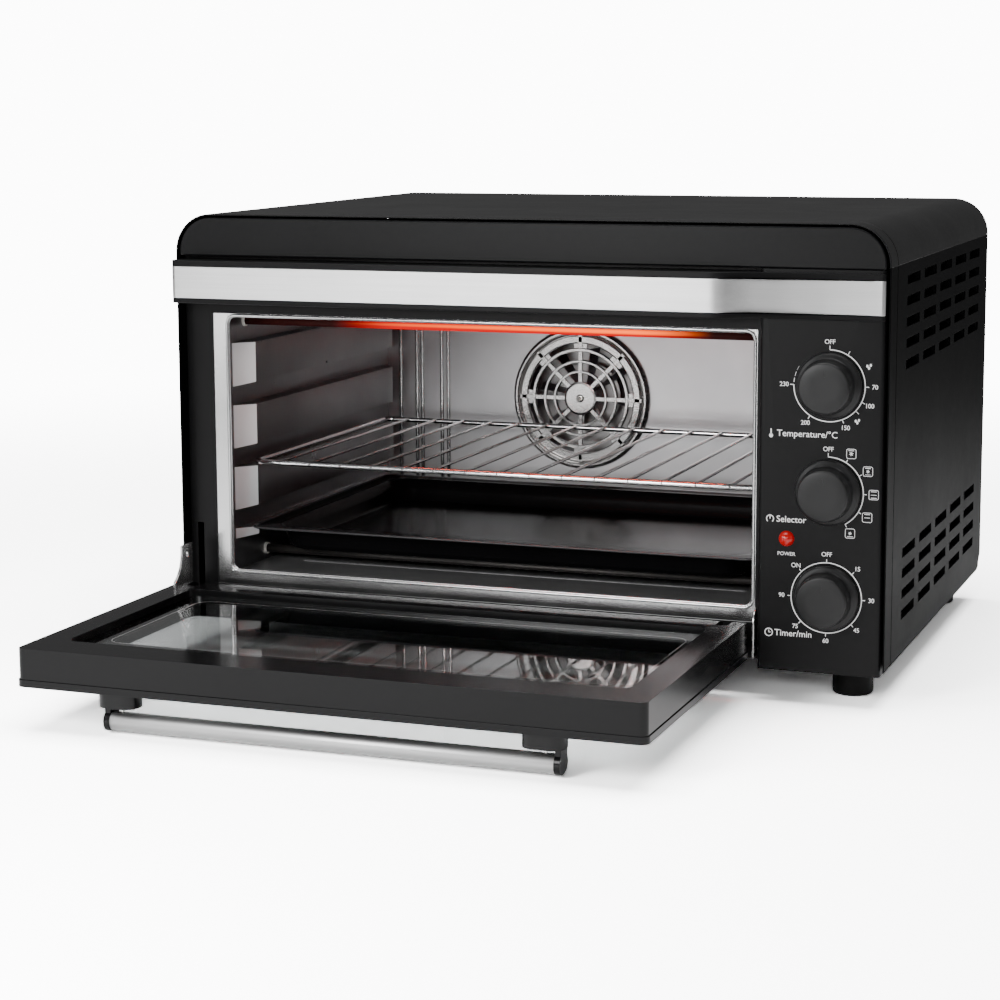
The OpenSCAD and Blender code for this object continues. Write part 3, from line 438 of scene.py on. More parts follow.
# %% Glass and the lamp's lens
def clear_finish(name, color, rough, transmission, emission=None):
    material = bpy.data.materials.new(name)
    material.use_nodes = True
    tree = material.node_tree
    shader = tree.nodes["Principled BSDF"]
    where = tree.nodes.new("ShaderNodeTexCoord").outputs["Object"]
    smears = place_group(tree, worn_gloss, where, Scale=9.0, Base=rough, Spread=0.04)
    for label, value in (("Base Color", color), ("Transmission Weight", transmission), ("IOR", 1.5),
                         ("Roughness", smears.outputs["Roughness"])):
        feed(tree, shader.inputs[label], value)
    if emission:
        shader.inputs["Emission Color"].default_value = (*emission[:3], 1)
        shader.inputs["Emission Strength"].default_value = emission[3]
    finishes[name] = material


clear_finish("door_glass", (0.86, 0.88, 0.88, 1), 0.015, 1.0)
clear_finish("red_lens", (0.42, 0.004, 0.004, 1), 0.06, 0.25, (0.8, 0.0, 0.0, 0.10))
print("all finishes:", len(finishes))

# %% [markdown]
# ## Making pieces
# Every new piece is a mesh that stays at the origin, rides on a body of the CAD
# frame and names the solids it stands for. These helpers keep that in one place.

# %% Piece helpers
made = []


def smooth_faces(mesh, sharpest):
    """Smooth shading, except over edges sharper than the angle in degrees."""
    mesh.polygons.foreach_set("use_smooth", [True] * len(mesh.polygons))
    mesh.set_sharp_from_angle(angle=math.radians(sharpest))


def object_from(bm, name, material, smooth=35, weld=0.000001):
    bmesh.ops.remove_doubles(bm, verts=bm.verts, dist=weld)
    bmesh.ops.recalc_face_normals(bm, faces=bm.faces)
    mesh = bpy.data.meshes.new(name)
    bm.to_mesh(mesh)
    bm.free()
    mesh.materials.append(finishes[material])
    smooth_faces(mesh, smooth)
    obj = bpy.data.objects.new(name, mesh)
    bpy.context.scene.collection.objects.link(obj)
    return obj


def settle(obj, body, slot, *stands_for):
    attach(obj, body)
    if stands_for:
        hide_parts(*stands_for)
    made.append(obj.name)
    return obj


def baked(obj):
    """The object with its modifiers turned into plain mesh."""
    graph = bpy.context.evaluated_depsgraph_get()
    mesh = bpy.data.meshes.new_from_object(obj.evaluated_get(graph), preserve_all_data_layers=True,
                                            depsgraph=graph)
    obj.modifiers.clear()
    old, obj.data = obj.data, mesh
    bpy.data.meshes.remove(old)
    return obj


def softened(node, width, material, body="housing", slot=None, steps=3, angle=32):
    """A copy of a solid with its sharp edges rounded, standing for that solid."""
    bm = bmesh.new()
    bm.from_mesh(cad[node].data)
    bmesh.ops.remove_doubles(bm, verts=bm.verts, dist=0.000004)
    bmesh.ops.dissolve_limit(bm, angle_limit=math.radians(1.0), verts=bm.verts, edges=bm.edges)
    obj = object_from(bm, node + "_shape", material)
    rounding = obj.modifiers.new("rounding", "BEVEL")
    rounding.width = width
    rounding.segments = steps
    rounding.limit_method = "ANGLE"
    rounding.angle_limit = math.radians(angle)
    return settle(baked(obj), body, slot or material, node)


# %% [markdown]
# Most new shapes are rings of points with faces between each ring and the next. So
# circles, turned shapes, wires and rounded rectangles each have a helper, and a
# plain box has one too.

# %% Shape helpers
def block(bm, a, b, turn=None):
    """A box between two corners, added to a mesh being built."""
    a, b = Vector(a), Vector(b)
    matrix = Matrix.Translation((a + b) / 2) @ (turn or Matrix()) @ Matrix.Diagonal((*(b - a), 1))
    bmesh.ops.create_cube(bm, size=1.0, matrix=matrix)


def circle(bm, centre, side, up, radius, count):
    return [bm.verts.new(centre + (side * math.cos(t) + up * math.sin(t)) * radius)
            for t in (2 * math.pi * k / count for k in range(count))]


def join_rings(bm, rings, closed=False):
    """Faces from each ring to the next, and from the last to the first if closed."""
    for first, second in zip(rings, rings[1:] + (rings[:1] if closed else [])):
        for k in range(len(first)):
            n = (k + 1) % len(first)
            bm.faces.new((first[k], second[k], second[n], first[n]))


turning = {"-Y": ((1, 0, 0), (0, 0, 1), (0, -1, 0)), "Y": ((1, 0, 0), (0, 0, 1), (0, 1, 0)),
           "X": ((0, 1, 0), (0, 0, 1), (1, 0, 0)), "Z": ((1, 0, 0), (0, 1, 0), (0, 0, 1)),
           "-Z": ((1, 0, 0), (0, -1, 0), (0, 0, -1))}


def turned(bm, profile, centre, axis, count):
    """A closed turned shape: profile is (radius, distance along the axis) from end to end."""
    side, up, along = (Vector(way) for way in turning[axis])
    rings = []
    for radius, distance in profile:
        place = Vector(centre) + along * distance
        rings.append([bm.verts.new(place)] if radius == 0 else circle(bm, place, side, up, radius, count))
    for first, second in zip(rings, rings[1:]):
        if len(first) == len(second):
            join_rings(bm, [first, second])
            continue
        (tip,), edge = sorted((first, second), key=len)
        for k in range(count):
            bm.faces.new((edge[k], tip, edge[(k + 1) % count]))
    for ring in (rings[0], rings[-1]):
        if len(ring) > 1:
            bm.faces.new(ring)


def tube(bm, points, radius, count=12, closed=False):
    """A round wire along points."""
    points = [Vector(p) for p in points]
    rings = []
    total = len(points)
    for i, point in enumerate(points):
        before = points[(i - 1) % total] if closed or i else point
        after = points[(i + 1) % total] if closed or i < total - 1 else point
        ahead = (after - before).normalized()
        side = ahead.cross(Vector((0, 0, 1)))
        if side.length < 0.01:
            side = ahead.cross(Vector((0, 1, 0)))
        side.normalize()
        rings.append(circle(bm, point, side, side.cross(ahead), radius, count))
    join_rings(bm, rings, closed)
    if not closed:
        bm.faces.new(rings[0])
        bm.faces.new(rings[-1])


def round_loop(x0, y0, x1, y1, radius, steps=8):
    """Points round a rectangle with rounded corners."""
    points = []
    for cx, cy, start in ((x1 - radius, y1 - radius, 0), (x0 + radius, y1 - radius, 90),
                          (x0 + radius, y0 + radius, 180), (x1 - radius, y0 + radius, 270)):
        for k in range(steps + 1):
            t = math.radians(start + 90 * k / steps)
            points.append((cx + radius * math.cos(t), cy + radius * math.sin(t)))
    return points


print("helpers ready")

# %% [markdown]
# ## Copies in rows
# Louvres and the rack's wires repeat at equal steps. A Geometry Nodes tree takes one
# shape, lays it out in rows and columns, makes the copies real and paints them.

# %% Rows and columns tree
def shape_tree(name, inputs):
    """A Geometry Nodes tree that takes a shape, the named inputs and a finish."""
    tree = bpy.data.node_groups.new(name, "GeometryNodeTree")
    for label, kind in {"Geometry": "Geometry", **inputs, "Finish": "Material"}.items():
        tree.interface.new_socket(label, in_out="INPUT", socket_type=f"NodeSocket{kind}")
    tree.interface.new_socket("Geometry", in_out="OUTPUT", socket_type="NodeSocketGeometry")
    return tree, tree.nodes.new("NodeGroupInput"), tree.nodes.new("NodeGroupOutput")


def real_copies(tree, points, shape, turn=(0, 0, 0)):
    """One real copy of the shape at each point."""
    copies = add(tree, "GeometryNodeInstanceOnPoints", {"Points": points, "Instance": shape,
                                                        "Rotation": turn})
    real = add(tree, "GeometryNodeRealizeInstances", {"Geometry": copies.outputs["Instances"]})
    return real.outputs["Geometry"]


def coat_and_end(tree, start, end, shape):
    coat = add(tree, "GeometryNodeSetMaterial", {"Geometry": shape, "Material": start.outputs["Finish"]})
    tree.links.new(coat.outputs["Geometry"], end.inputs["Geometry"])


def grid_tree():
    tree, start, end = shape_tree("rows_and_columns", {"Columns": "Int", "Rows": "Int",
                                                       "Column Step": "Vector", "Row Step": "Vector"})
    shape = start.outputs["Geometry"]
    for count, step in (("Columns", "Column Step"), ("Rows", "Row Step")):
        line = add(tree, "GeometryNodeMeshLine", {"Count": start.outputs[count],
                                                  "Offset": start.outputs[step]})
        shape = real_copies(tree, line.outputs["Mesh"], shape)
    coat_and_end(tree, start, end, shape)
    return tree


rows_and_columns = grid_tree()


def with_tree(obj, tree, values):
    """Runs a Geometry Nodes tree on an object and keeps the plain mesh."""
    modifier = obj.modifiers.new(tree.name, "NODES")
    modifier.node_group = tree
    for item in tree.interface.items_tree:
        if item.item_type == "SOCKET" and item.in_out == "INPUT" and item.name in values:
            modifier[item.identifier] = values[item.name]
    smooth_faces(baked(obj).data, 35)
    return obj


def in_rows(obj, columns, rows, column_step, row_step, material):
    return with_tree(obj, rows_and_columns, {"Columns": columns, "Rows": rows, "Column Step": column_step,
                                             "Row Step": row_step, "Finish": finishes[material]})


print("tree:", rows_and_columns.name)

# %% [markdown]
# ## Outer shell
# The shell is bent sheet steel under satin black paint. Paint rounds every cut edge,
# and that thin round is what catches the light, so the sheet's edges get a small
# rounding. Behind each slot stands a louvre, pressed inward to turn the air down.

# %% Cover, sides and rear
softened("top_cover", 0.0004, "satin_black_steel", steps=2)
# The side panels wear the darker copy of the satin black paint, painted shade, while the top keeps the plain
# one.
for side in ("left_side_panel", "right_side_panel"):
    softened(side, 0.0004, "side_black_painted_shade", slot="satin_black_steel", steps=2)
softened("rear_panel", 0.0003, "black_enamel_sheet", steps=2)
print("shell pieces:", made)

# %% Louvres behind the side slots
vent_first_y, vent_pitch, vent_length, vent_height = 0.057, 0.0625, 0.046, 0.0065
vent_fields = {"upper": (roof_z - 0.044, 5), "lower": (base_z + 0.069, 4)}
vent_columns, row_pitch = 5, 0.0146
sheet_thickness, hood_overlap = 0.001, 0.001


def louvre(bm, x_skin, inward, y0, y1, z0, z1):
    """A pressed hood: a slanted lip, with closed ends, behind one slot."""
    thick, depth = 0.0007, 0.0055
    profile = [(0.0, z1 + 0.0004), (0.35, z1 - 0.0002), (0.8, z1 - 0.0022), (1.0, z0 + 0.0008),
               (1.0, z0 - 0.0034), (0.5, z0 - 0.0052)]
    outer = [(x_skin + inward * depth * t, z) for t, z in profile]
    inner = [(x_skin + inward * (depth * t + thick), z + thick * 0.6) for t, z in reversed(profile)]
    rows = [[bm.verts.new((x, y, z)) for x, z in outer + inner] for y in (y0, y0 + 0.0012, y1 - 0.0012, y1)]
    join_rings(bm, rows)
    last = len(outer + inner) - 1
    for row in (rows[0], rows[-1]):
        for k in range(len(profile) - 1):
            bm.faces.new((row[k], row[last - k], row[last - k - 1], row[k + 1]))
    closing = outer + [(x_skin, profile[-1][1])]
    for y in (y0 + 0.0002, y1 - 0.0008):
        ends = [[bm.verts.new((x, y + step, z)) for x, z in closing] for step in (0, 0.0006)]
        join_rings(bm, ends)
        bm.faces.new(ends[0])
        bm.faces.new(ends[1])


for label, sign in (("left", -1), ("right", 1)):
    for field, (first_z, rows) in vent_fields.items():
        bm = bmesh.new()
        first_y = front_y + vent_first_y
        louvre(bm, sign * (half_width - sheet_thickness), -sign, first_y - hood_overlap,
               first_y + vent_length + hood_overlap, first_z, first_z + vent_height)
        hood = object_from(bm, f"{label}_{field}_louvres", "satin_black_steel")
        in_rows(hood, vent_columns, rows, (0, vent_pitch, 0), (0, 0, -row_pitch), "satin_black_steel")
        settle(hood, "housing", "satin_black_steel")
print("louvres:", [n for n in made if "louvres" in n])

# %% [markdown]
# ## Front band and panels
# The fascia and the control panel are moulded. The steel strip in the band over the
# door is a thin brushed sheet laid in its groove, so its brushing runs lengthwise.

# %% Fascia, band, strip and panel
for node, width, coat, steps in (
        ("upper_fascia", 0.0012, "black_fascia_plastic", 3),
        ("control_panel", 0.0006, "black_fascia_plastic", 3),
        ("trim_rail", 0.0008, "black_fascia_plastic", 3), ("trim_strip", 0.0003, "brushed_trim", 2),
        ("front_frame", 0.0003, "satin_black_steel", 2), ("base_plate", 0.0003, "black_enamel_sheet", 2)):
    softened(node, width, coat, steps=steps)
print("front pieces:", made[-6:])

# %% [markdown]
# ## Printing on the panel
# The dials are screen printed: a thin layer of white ink. It is built as real but
# very thin solids that stand a tenth of a millimetre proud of the panel. Arcs are
# made from short steps, ticks and pictures from straight strokes, numbers from type.

# %% Ink helpers
ink_out, ink_in = 0.00012, 0.0002


def ink_face(bm, outline):
    """A closed slab of ink from an outline in x and z."""
    front = [bm.verts.new((x, front_y - ink_out, z)) for x, z in outline]
    back = [bm.verts.new((x, front_y + ink_in, z)) for x, z in outline]
    bm.faces.new(front)
    bm.faces.new(list(reversed(back)))
    join_rings(bm, [front, back])


def ink_oval(bm, centre, half_wide, half_high, count):
    ink_face(bm, [(centre[0] + half_wide * math.cos(t), centre[1] + half_high * math.sin(t))
                  for t in (2 * math.pi * k / count for k in range(count))])


def stroke(bm, a, b, width):
    a, b = Vector(a), Vector(b)
    across = (b - a).normalized().orthogonal() * width / 2
    ink_face(bm, [tuple(a + across), tuple(b + across), tuple(b - across), tuple(a - across)])


def arc(bm, centre, radius, start, stop, width):
    """A band of ink round a centre, in degrees clockwise from the top."""
    steps = max(6, int(abs(stop - start) / 3))
    whole = abs(stop - start) >= 360
    inner, outer = radius - width / 2, radius + width / 2
    front, back = front_y - ink_out, front_y + ink_in
    rows = []
    for k in range(steps + (0 if whole else 1)):
        t = math.radians(start + (stop - start) * k / steps)
        rows.append([bm.verts.new((centre[0] + math.sin(t) * r, y, centre[1] + math.cos(t) * r))
                     for r, y in ((inner, front), (outer, front), (outer, back), (inner, back))])
    join_rings(bm, rows, closed=whole)
    if not whole:
        bm.faces.new(rows[0])
        bm.faces.new(list(reversed(rows[-1])))


def on_dial(centre, radius, angle):
    t = math.radians(angle)
    return (centre[0] + radius * math.sin(t), centre[1] + radius * math.cos(t))


def tick(bm, centre, angle, inner, outer, width=0.0005):
    stroke(bm, on_dial(centre, inner, angle), on_dial(centre, outer, angle), width)


def lettering(bm, words, centre, size, spread=1.0, measure=False):
    """Type laid on the panel. Returns its width, and with measure adds nothing."""
    curve = bpy.data.curves.new("lettering", "FONT")
    curve.body = words
    curve.size = size
    curve.align_x, curve.align_y = "CENTER", "CENTER"
    curve.space_character = spread
    curve.resolution_u = 3
    curve.offset = size * 0.003
    curve.extrude = (ink_out + ink_in) / 2
    text = bpy.data.objects.new("lettering", curve)
    bpy.context.scene.collection.objects.link(text)
    graph = bpy.context.evaluated_depsgraph_get()
    mesh = bpy.data.meshes.new_from_object(text.evaluated_get(graph))
    place = Matrix.Translation((centre[0], front_y + (ink_in - ink_out) / 2, centre[1]))
    mesh.transform(place @ Matrix.Rotation(math.pi / 2, 4, "X"))
    width = 2 * max(vertex.co.x - centre[0] for vertex in mesh.vertices)
    if not measure:
        bm.from_mesh(mesh)
    bpy.data.meshes.remove(mesh)
    bpy.data.objects.remove(text)
    return width


def picture_frame(bm, centre, size, width=0.00035):
    """The rounded square round a small picture."""
    half = size / 2
    x, z = centre
    points = round_loop(x - half, z - half, x + half, z + half, size * 0.16, 3)
    for a, b in zip(points, points[1:] + points[:1]):
        stroke(bm, a, b, width)


print("ink helpers ready")

# %% Temperature dial
def dial_centre(shaft):
    return (middle(shaft).x, middle(shaft).z)


ring, dial_line, number_size = 0.0243, 0.00065, 0.0044
hot = dial_centre("temperature_shaft")
bm = bmesh.new()
arc(bm, hot, ring, 0, 270, dial_line)
for step, share in ((278, 0.0004), (288, 0.0003), (298, 0.0002)):
    arc(bm, hot, ring, step - 4, step + 3, share)
for angle, words in ((0, "OFF"), (90, "70"), (115, "100"), (158, "150"), (212, "200"), (270, "230")):
    tick(bm, hot, angle, ring, ring + 0.0026)
    out = 0.0052 if words == "OFF" else 0.0066 if angle in (90, 270) else 0.0060
    lettering(bm, words, on_dial(hot, ring + out, angle), number_size, 0.95)
for angle in (30, 132):
    tick(bm, hot, angle, ring, ring + 0.003, 0.0004)


def grains_picture(bm, centre, size):
    """Three small ovals, for warming."""
    for dx, dz in ((-0.3, 0.0), (0.3, 0.15), (0.0, -0.35)):
        ink_oval(bm, (centre[0] + dx * size, centre[1] + dz * size), size * 0.2, size * 0.28, 8)


grains_picture(bm, on_dial(hot, ring + 0.0058, 62), 0.0038)
grains_picture(bm, on_dial(hot, ring + 0.0058, 140), 0.0036)
settle(object_from(bm, "temperature_print", "print_white", 20, 1e-7), "housing", "black_fascia_plastic")
print("temperature dial at", [round(v, 3) for v in hot])

# %% Function dial
choose = dial_centre("selector_shaft")
bm = bmesh.new()
arc(bm, choose, ring, 0, 150, dial_line)
lettering(bm, "OFF", on_dial(choose, ring + 0.0052, 0), number_size, 0.95)
tick(bm, choose, 0, ring, ring + 0.0026)


def function_picture(bm, centre, number, size=0.0064):
    """An oven seen from the front: bars for the heaters, a cross for the fan."""
    picture_frame(bm, centre, size)
    x, z = centre

    def bar(height, width):
        stroke(bm, (x - size * 0.3, z + size * height), (x + size * 0.3, z + size * height), width)

    if number in (0, 1, 2, 3):
        bar(0.34, 0.0004)
    if number in (2, 4):
        bar(-0.34, 0.0004)
    if number in (0, 1, 4):
        reach = size * (0.17 if number else 0.22)
        for turn in (15, 75, 135):
            way = Vector((math.cos(math.radians(turn)), math.sin(math.radians(turn)))) * reach
            stroke(bm, Vector(centre) - way, Vector(centre) + way, 0.00045)
    if number in (2, 3):
        bar(-0.02, 0.00035)
    if number == 1:
        bar(-0.34, 0.00025)


for number, angle in enumerate((30, 60, 90, 120, 150)):
    tick(bm, choose, angle, ring, ring + 0.0022)
    function_picture(bm, on_dial(choose, ring + 0.0070, angle), number)
settle(object_from(bm, "function_print", "print_white", 20, 1e-7), "housing", "black_fascia_plastic")

# %% Timer dial
wait = dial_centre("timer_shaft")
bm = bmesh.new()
arc(bm, wait, ring, 0, 360, dial_line)
for number, words in enumerate(("OFF", "15", "30", "45", "60", "75", "90", "ON")):
    angle = 45 * number
    tick(bm, wait, angle, ring, ring + 0.0024)
    out = 0.0066 if angle in (90, 270) else 0.0056
    lettering(bm, words, on_dial(wait, ring + out, angle), number_size, 0.95)


# %% Captions and their pictures
def thermometer_picture(bm, centre, size):
    x, z = centre
    stroke(bm, (x, z + size * 0.5), (x, z - size * 0.2), 0.0009)
    ink_oval(bm, (x, z - size * 0.3), size * 0.24, size * 0.24, 12)


def switch_picture(bm, centre, size):
    arc(bm, centre, size * 0.42, -140, 140, 0.0006)
    stroke(bm, centre, (centre[0], centre[1] + size * 0.5), 0.0006)


def clock_picture(bm, centre, size):
    arc(bm, centre, size * 0.45, 0, 360, 0.0006)
    stroke(bm, centre, (centre[0], centre[1] + size * 0.28), 0.0005)
    stroke(bm, centre, (centre[0] + size * 0.22, centre[1]), 0.0005)


panel_left = low("control_panel").x
caption_size, picture_size = 0.0062, 0.0058
for centre, words, picture, drop in ((hot, "Temperature/°C", thermometer_picture, 0.0335),
                                     (choose, "Selector", switch_picture, 0.0200),
                                     (wait, "Timer/min", clock_picture, 0.0265)):
    width = lettering(bm, words, (0, 0), caption_size, measure=True)
    lettering(bm, words, (panel_left + 0.0128 + width / 2, centre[1] - drop), caption_size)
    picture(bm, (panel_left + 0.0085, centre[1] - drop), picture_size)
lamp = middle("power_lamp_lens")
lettering(bm, "POWER", (lamp.x, lamp.z - 0.0105), 0.0036)
captions = object_from(bm, "timer_print_and_captions", "print_white", 20, 1e-7)
settle(captions, "housing", "black_fascia_plastic")
print("printing:", made[-3:])

# %% [markdown]
# ## Knobs
# A knob is turned: a flat flange near the panel, a grip that narrows a little, and a
# face with a soft rim. A fine rib on the face marks its setting. The knobs are joined
# to their shafts, so each rides on its own body and turns with it.

# %% Turned knobs
def knob(control):
    node, shaft, body = f"{control}_knob", f"{control}_shaft", f"{control}_control"
    centre = middle(shaft)
    back, face = high(node).y, low(node).y
    flange = (high(node).x - low(node).x) / 2
    grip = flange * 0.79
    length = back - face
    profile = [(0, 0.0), (flange - 0.0012, 0.0), (flange - 0.0003, 0.0004), (flange, 0.0012),
               (flange - 0.0004, 0.0022), (flange - 0.0016, 0.0029), (grip + 0.0016, 0.0034),
               (grip + 0.0006, 0.0042), (grip + 0.0002, 0.0058), (grip - 0.0002, length - 0.0018),
               (grip - 0.0005, length - 0.0008), (grip - 0.0010, length - 0.0003), (grip - 0.0018, length),
               (grip * 0.5, length - 0.0002), (0, length - 0.0002)]
    bm = bmesh.new()
    turned(bm, profile, (centre.x, back, centre.z), "-Y", 96)
    settle(object_from(bm, node + "_shape", "knob_plastic", 50), body, "knob_plastic", node)
    bm = bmesh.new()
    block(bm, (centre.x - 0.0005, face + 0.00002, centre.z + grip - 0.0105),
          (centre.x + 0.0005, face + 0.0010, centre.z + grip - 0.0060))
    settle(object_from(bm, node + "_mark", "knob_plastic"), body, "knob_plastic")


for control in ("temperature", "selector", "timer"):
    knob(control)
for node in ("temperature_shaft", "selector_shaft", "timer_shaft", "fan_shaft", "door_hinge_pins"):
    cad[node].data.materials.clear()
    cad[node].data.materials.append(finishes["shaft_steel"])
print("knobs:", made[-6:])

# %% [markdown]
# ## Cavity
# The cavity is aluminised sheet. The shelf guides are pressed into the walls, so
# their edges are rounded by a few sheet thicknesses. The flange round the opening is
# bent over, which leaves a bright rolled bead on its inner edge.

# %% Cavity walls and flange
mouth_y = low("cavity_front_flange").y
back_y = low("cavity_back_wall").y
guide = 0.013
wall_left, wall_right = high("cavity_left_wall").x - guide, low("cavity_right_wall").x + guide
floor_z, ceiling_z = high("cavity_floor").z, low("cavity_ceiling").z
# The side walls get a darker tone of the cavity sheet, painted shade. The faces of their guides that look to
# the front get a brighter one, a painted highlight.
for node in ("cavity_left_wall", "cavity_right_wall"):
    wall = softened(node, 0.0028, "wall_steel_painted_shade", slot="cavity_steel", steps=4, angle=28)
    wall.data.materials.append(finishes["guide_end_painted_highlight"])
    for face in wall.data.polygons:
        face.material_index = int(face.normal.y < -0.35 and mouth_y + 0.003 < face.center.y < mouth_y + 0.06)
for node in ("cavity_back_wall", "cavity_floor", "cavity_ceiling"):
    softened(node, 0.0002, "cavity_steel", steps=1)
softened("cavity_front_flange", 0.0003, "flange_steel", slot="cavity_steel", steps=2)
lip = 0.0075


def rolled_bead(name, offset, radius, depth):
    """A bent edge round the cavity's mouth."""
    loop = round_loop(wall_left + lip - offset, floor_z + 0.005 - offset, wall_right - lip + offset,
                      ceiling_z - 0.008 + offset, 0.006 + offset)
    bm = bmesh.new()
    tube(bm, [(x, mouth_y + depth, z) for x, z in loop], radius, closed=True)
    settle(object_from(bm, name, "flange_steel"), "housing", "cavity_steel")


rolled_bead("mouth_bead", 0.0008, 0.0011, 0.0002)
rolled_bead("mouth_inner_bead", -0.0002, 0.0007, 0.0014)
print("cavity mouth", [round(v, 3) for v in (wall_left, wall_right, floor_z, ceiling_z)])

# %% [markdown]
# The back wall is stiffened by upright beads pressed into the sheet at each side of
# the fan, and the floor by three beads from side to side. Each is a half-round with
# closed ends.

# %% Stiffening beads
def bead(bm, a, b, radius, flat, outward):
    """A half-round bead from a to b that rises out of a wall along outward."""
    a, b, outward = Vector(a), Vector(b), Vector(outward)
    along = (b - a).normalized()
    side = along.cross(outward).normalized()
    stations = [(0.0, 0.0), (0.3, 0.55), (0.7, 0.9), (1.2, 1.0)]
    places = [(a + along * radius * s, h) for s, h in stations]
    places += [(b - along * radius * s, h) for s, h in reversed(stations)]
    rings = []
    for place, rise in places:
        ring = [bm.verts.new(place + side * radius * math.cos(t) * (0.25 + 0.75 * rise)
                             + outward * (flat * math.sin(t) * rise))
                for t in (math.pi * k / 8 for k in range(9))]
        rings.append(ring + [bm.verts.new(place - outward * 0.0003)])
    join_rings(bm, rings)
    bm.faces.new(rings[0])
    bm.faces.new(rings[-1])


bm = bmesh.new()
for inset in (0.012, 0.027, 0.032, 0.050, 0.056):
    for x in (wall_left + inset, wall_right - inset):
        bead(bm, (x, back_y, floor_z + 0.014), (x, back_y, ceiling_z - 0.012), 0.0017, 0.0013, (0, -1, 0))
settle(object_from(bm, "back_wall_beads", "flange_steel", 60), "housing", "cavity_steel")
bm = bmesh.new()
for y in (mouth_y + 0.075, mouth_y + 0.150, mouth_y + 0.225):
    bead(bm, (wall_left + 0.03, y, floor_z), (wall_right - 0.03, y, floor_z), 0.003, 0.0012, (0, 0, 1))
settle(object_from(bm, "floor_beads", "cavity_steel", 60), "housing", "cavity_steel")
print("beads:", made[-2:])

# %% [markdown]
# A heater is a steel sheath with a thin pin at each end, turned here as one shape.
# Only the finish tells a hot heater from a cold one: the two upper ones are hot.

# %% Heaters, bushes and bulb
finish("heater_cold", (0.035, 0.033, 0.032), (0.075, 0.070, 0.066), 0.42, 0.12, 0.8, grain=0.3)
pin = 0.0019
for node, coat in (("upper_front_heater", "heater_glow"), ("upper_rear_heater", "heater_dull"),
                   ("lower_front_heater", "heater_cold"), ("lower_rear_heater", "heater_cold")):
    a, b = low(node), high(node)
    radius, length = (b.z - a.z) / 2, b.x - a.x
    half = [(0, 0), (pin, 0), (pin, 0.0008), (radius - 0.0004, 0.001), (radius, 0.0015)]
    bm = bmesh.new()
    turned(bm, half + [(r, length - s) for r, s in reversed(half)],
           (a.x, (a.y + b.y) / 2, (a.z + b.z) / 2), "X", 32)
    settle(object_from(bm, node + "_shape", coat, 40), "housing", "heater_sheath", node)
softened("heater_insulators", 0.0004, "insulator_ceramic", steps=2)
softened("thermostat_bulb", 0.0008, "copper_bulb", steps=3)
print("heaters:", made[-6:])

# %% [markdown]
# ## Fan grille
# The grille is pressed from one disc: rings and spokes are what is left between the
# slots. Each ring is turned with rounded edges, and a Geometry Nodes tree sets the
# spokes round the middle, because they are equal copies about one axis.

# %% Round copies tree
def round_tree():
    tree, start, end = shape_tree("copies_in_a_ring", {"Count": "Int", "Axis Point": "Vector"})
    points = add(tree, "GeometryNodeMeshLine", {"Offset": (0, 0, 0), "Count": start.outputs["Count"],
                                                "Start Location": start.outputs["Axis Point"]})
    share = math_node(tree, "DIVIDE", 2 * math.pi, start.outputs["Count"])
    number = tree.nodes.new("GeometryNodeInputIndex").outputs[0]
    turn = add(tree, "ShaderNodeCombineXYZ", {"Y": math_node(tree, "MULTIPLY", number, share)})
    shape = real_copies(tree, points.outputs["Mesh"], start.outputs["Geometry"], turn.outputs[0])
    coat_and_end(tree, start, end, shape)
    return tree


copies_in_a_ring = round_tree()


def in_ring(obj, count, centre, material):
    return with_tree(obj, copies_in_a_ring, {"Count": count, "Axis Point": centre,
                                             "Finish": finishes[material]})


# %% Grille rings, hub and spokes
finish("grille_silver", (0.36, 0.355, 0.35), (0.50, 0.495, 0.49), 0.26, 0.12, 1.0, grain=0.3, grain_scale=600)
grille_middle = middle("fan_grille")
grille_front, grille_back = low("fan_grille").y, high("fan_grille").y
grille_radius = (high("fan_grille").x - low("fan_grille").x) / 2


def flat_ring(bm, inner, outer, front, back, edge=0.0006):
    """A closed ring with rounded edges round the fan's axis."""
    profile = [(inner + edge, front), (inner, front + edge), (inner, back), (outer, back),
               (outer, front + edge), (outer - edge, front)]
    count = 96
    rings = [[bm.verts.new((grille_middle.x + r * math.sin(t), y, grille_middle.z + r * math.cos(t)))
              for t in (2 * math.pi * k / count for k in range(count))] for r, y in profile]
    join_rings(bm, rings, closed=True)


bm = bmesh.new()
flat_ring(bm, 0.0535, grille_radius, grille_front + 0.0004, grille_back, 0.0026)
flat_ring(bm, 0.0465, 0.0530, grille_front + 0.0004, grille_back - 0.0005, 0.0010)
for inner, outer in ((0.0395, 0.0425), (0.0300, 0.0325), (0.0213, 0.0236)):
    flat_ring(bm, inner, outer, grille_front, grille_back - 0.001)
turned(bm, [(0, -0.003), (0.0138, -0.003), (0.0142, -0.0008), (0.0138, 0.0), (0.0128, 0.0003),
            (0.0122, -0.0002), (0.004, -0.0001), (0, -0.0001)],
       (grille_middle.x, grille_front, grille_middle.z), "-Y", 64)
settle(object_from(bm, "grille_rings", "grille_silver", 40), "housing", "grille_steel", "fan_grille")
spokes = 8
bm = bmesh.new()
block(bm, (-0.0015, grille_front + 0.0004, 0.0125), (0.0015, grille_back - 0.0016, 0.0535))
spoke = object_from(bm, "grille_spokes", "grille_silver")
in_ring(spoke, spokes, (grille_middle.x, 0, grille_middle.z), "grille_silver")
settle(spoke, "housing", "grille_steel")
slot_end_radius, slot_end_half, slot_end_lean = 0.0445, 0.0018, 0.085
bm = bmesh.new()
for k in range(spokes):
    for side in (-1, 1):
        t = 2 * math.pi * k / spokes + side * slot_end_lean
        x, z = slot_end_radius * math.sin(t), slot_end_radius * math.cos(t)
        block(bm, (x - slot_end_half, grille_front + 0.001, z - slot_end_half),
              (x + slot_end_half, grille_back - 0.002, z + slot_end_half), Matrix.Rotation(t, 4, "Y"))
bmesh.ops.translate(bm, vec=(grille_middle.x, 0, grille_middle.z), verts=bm.verts)
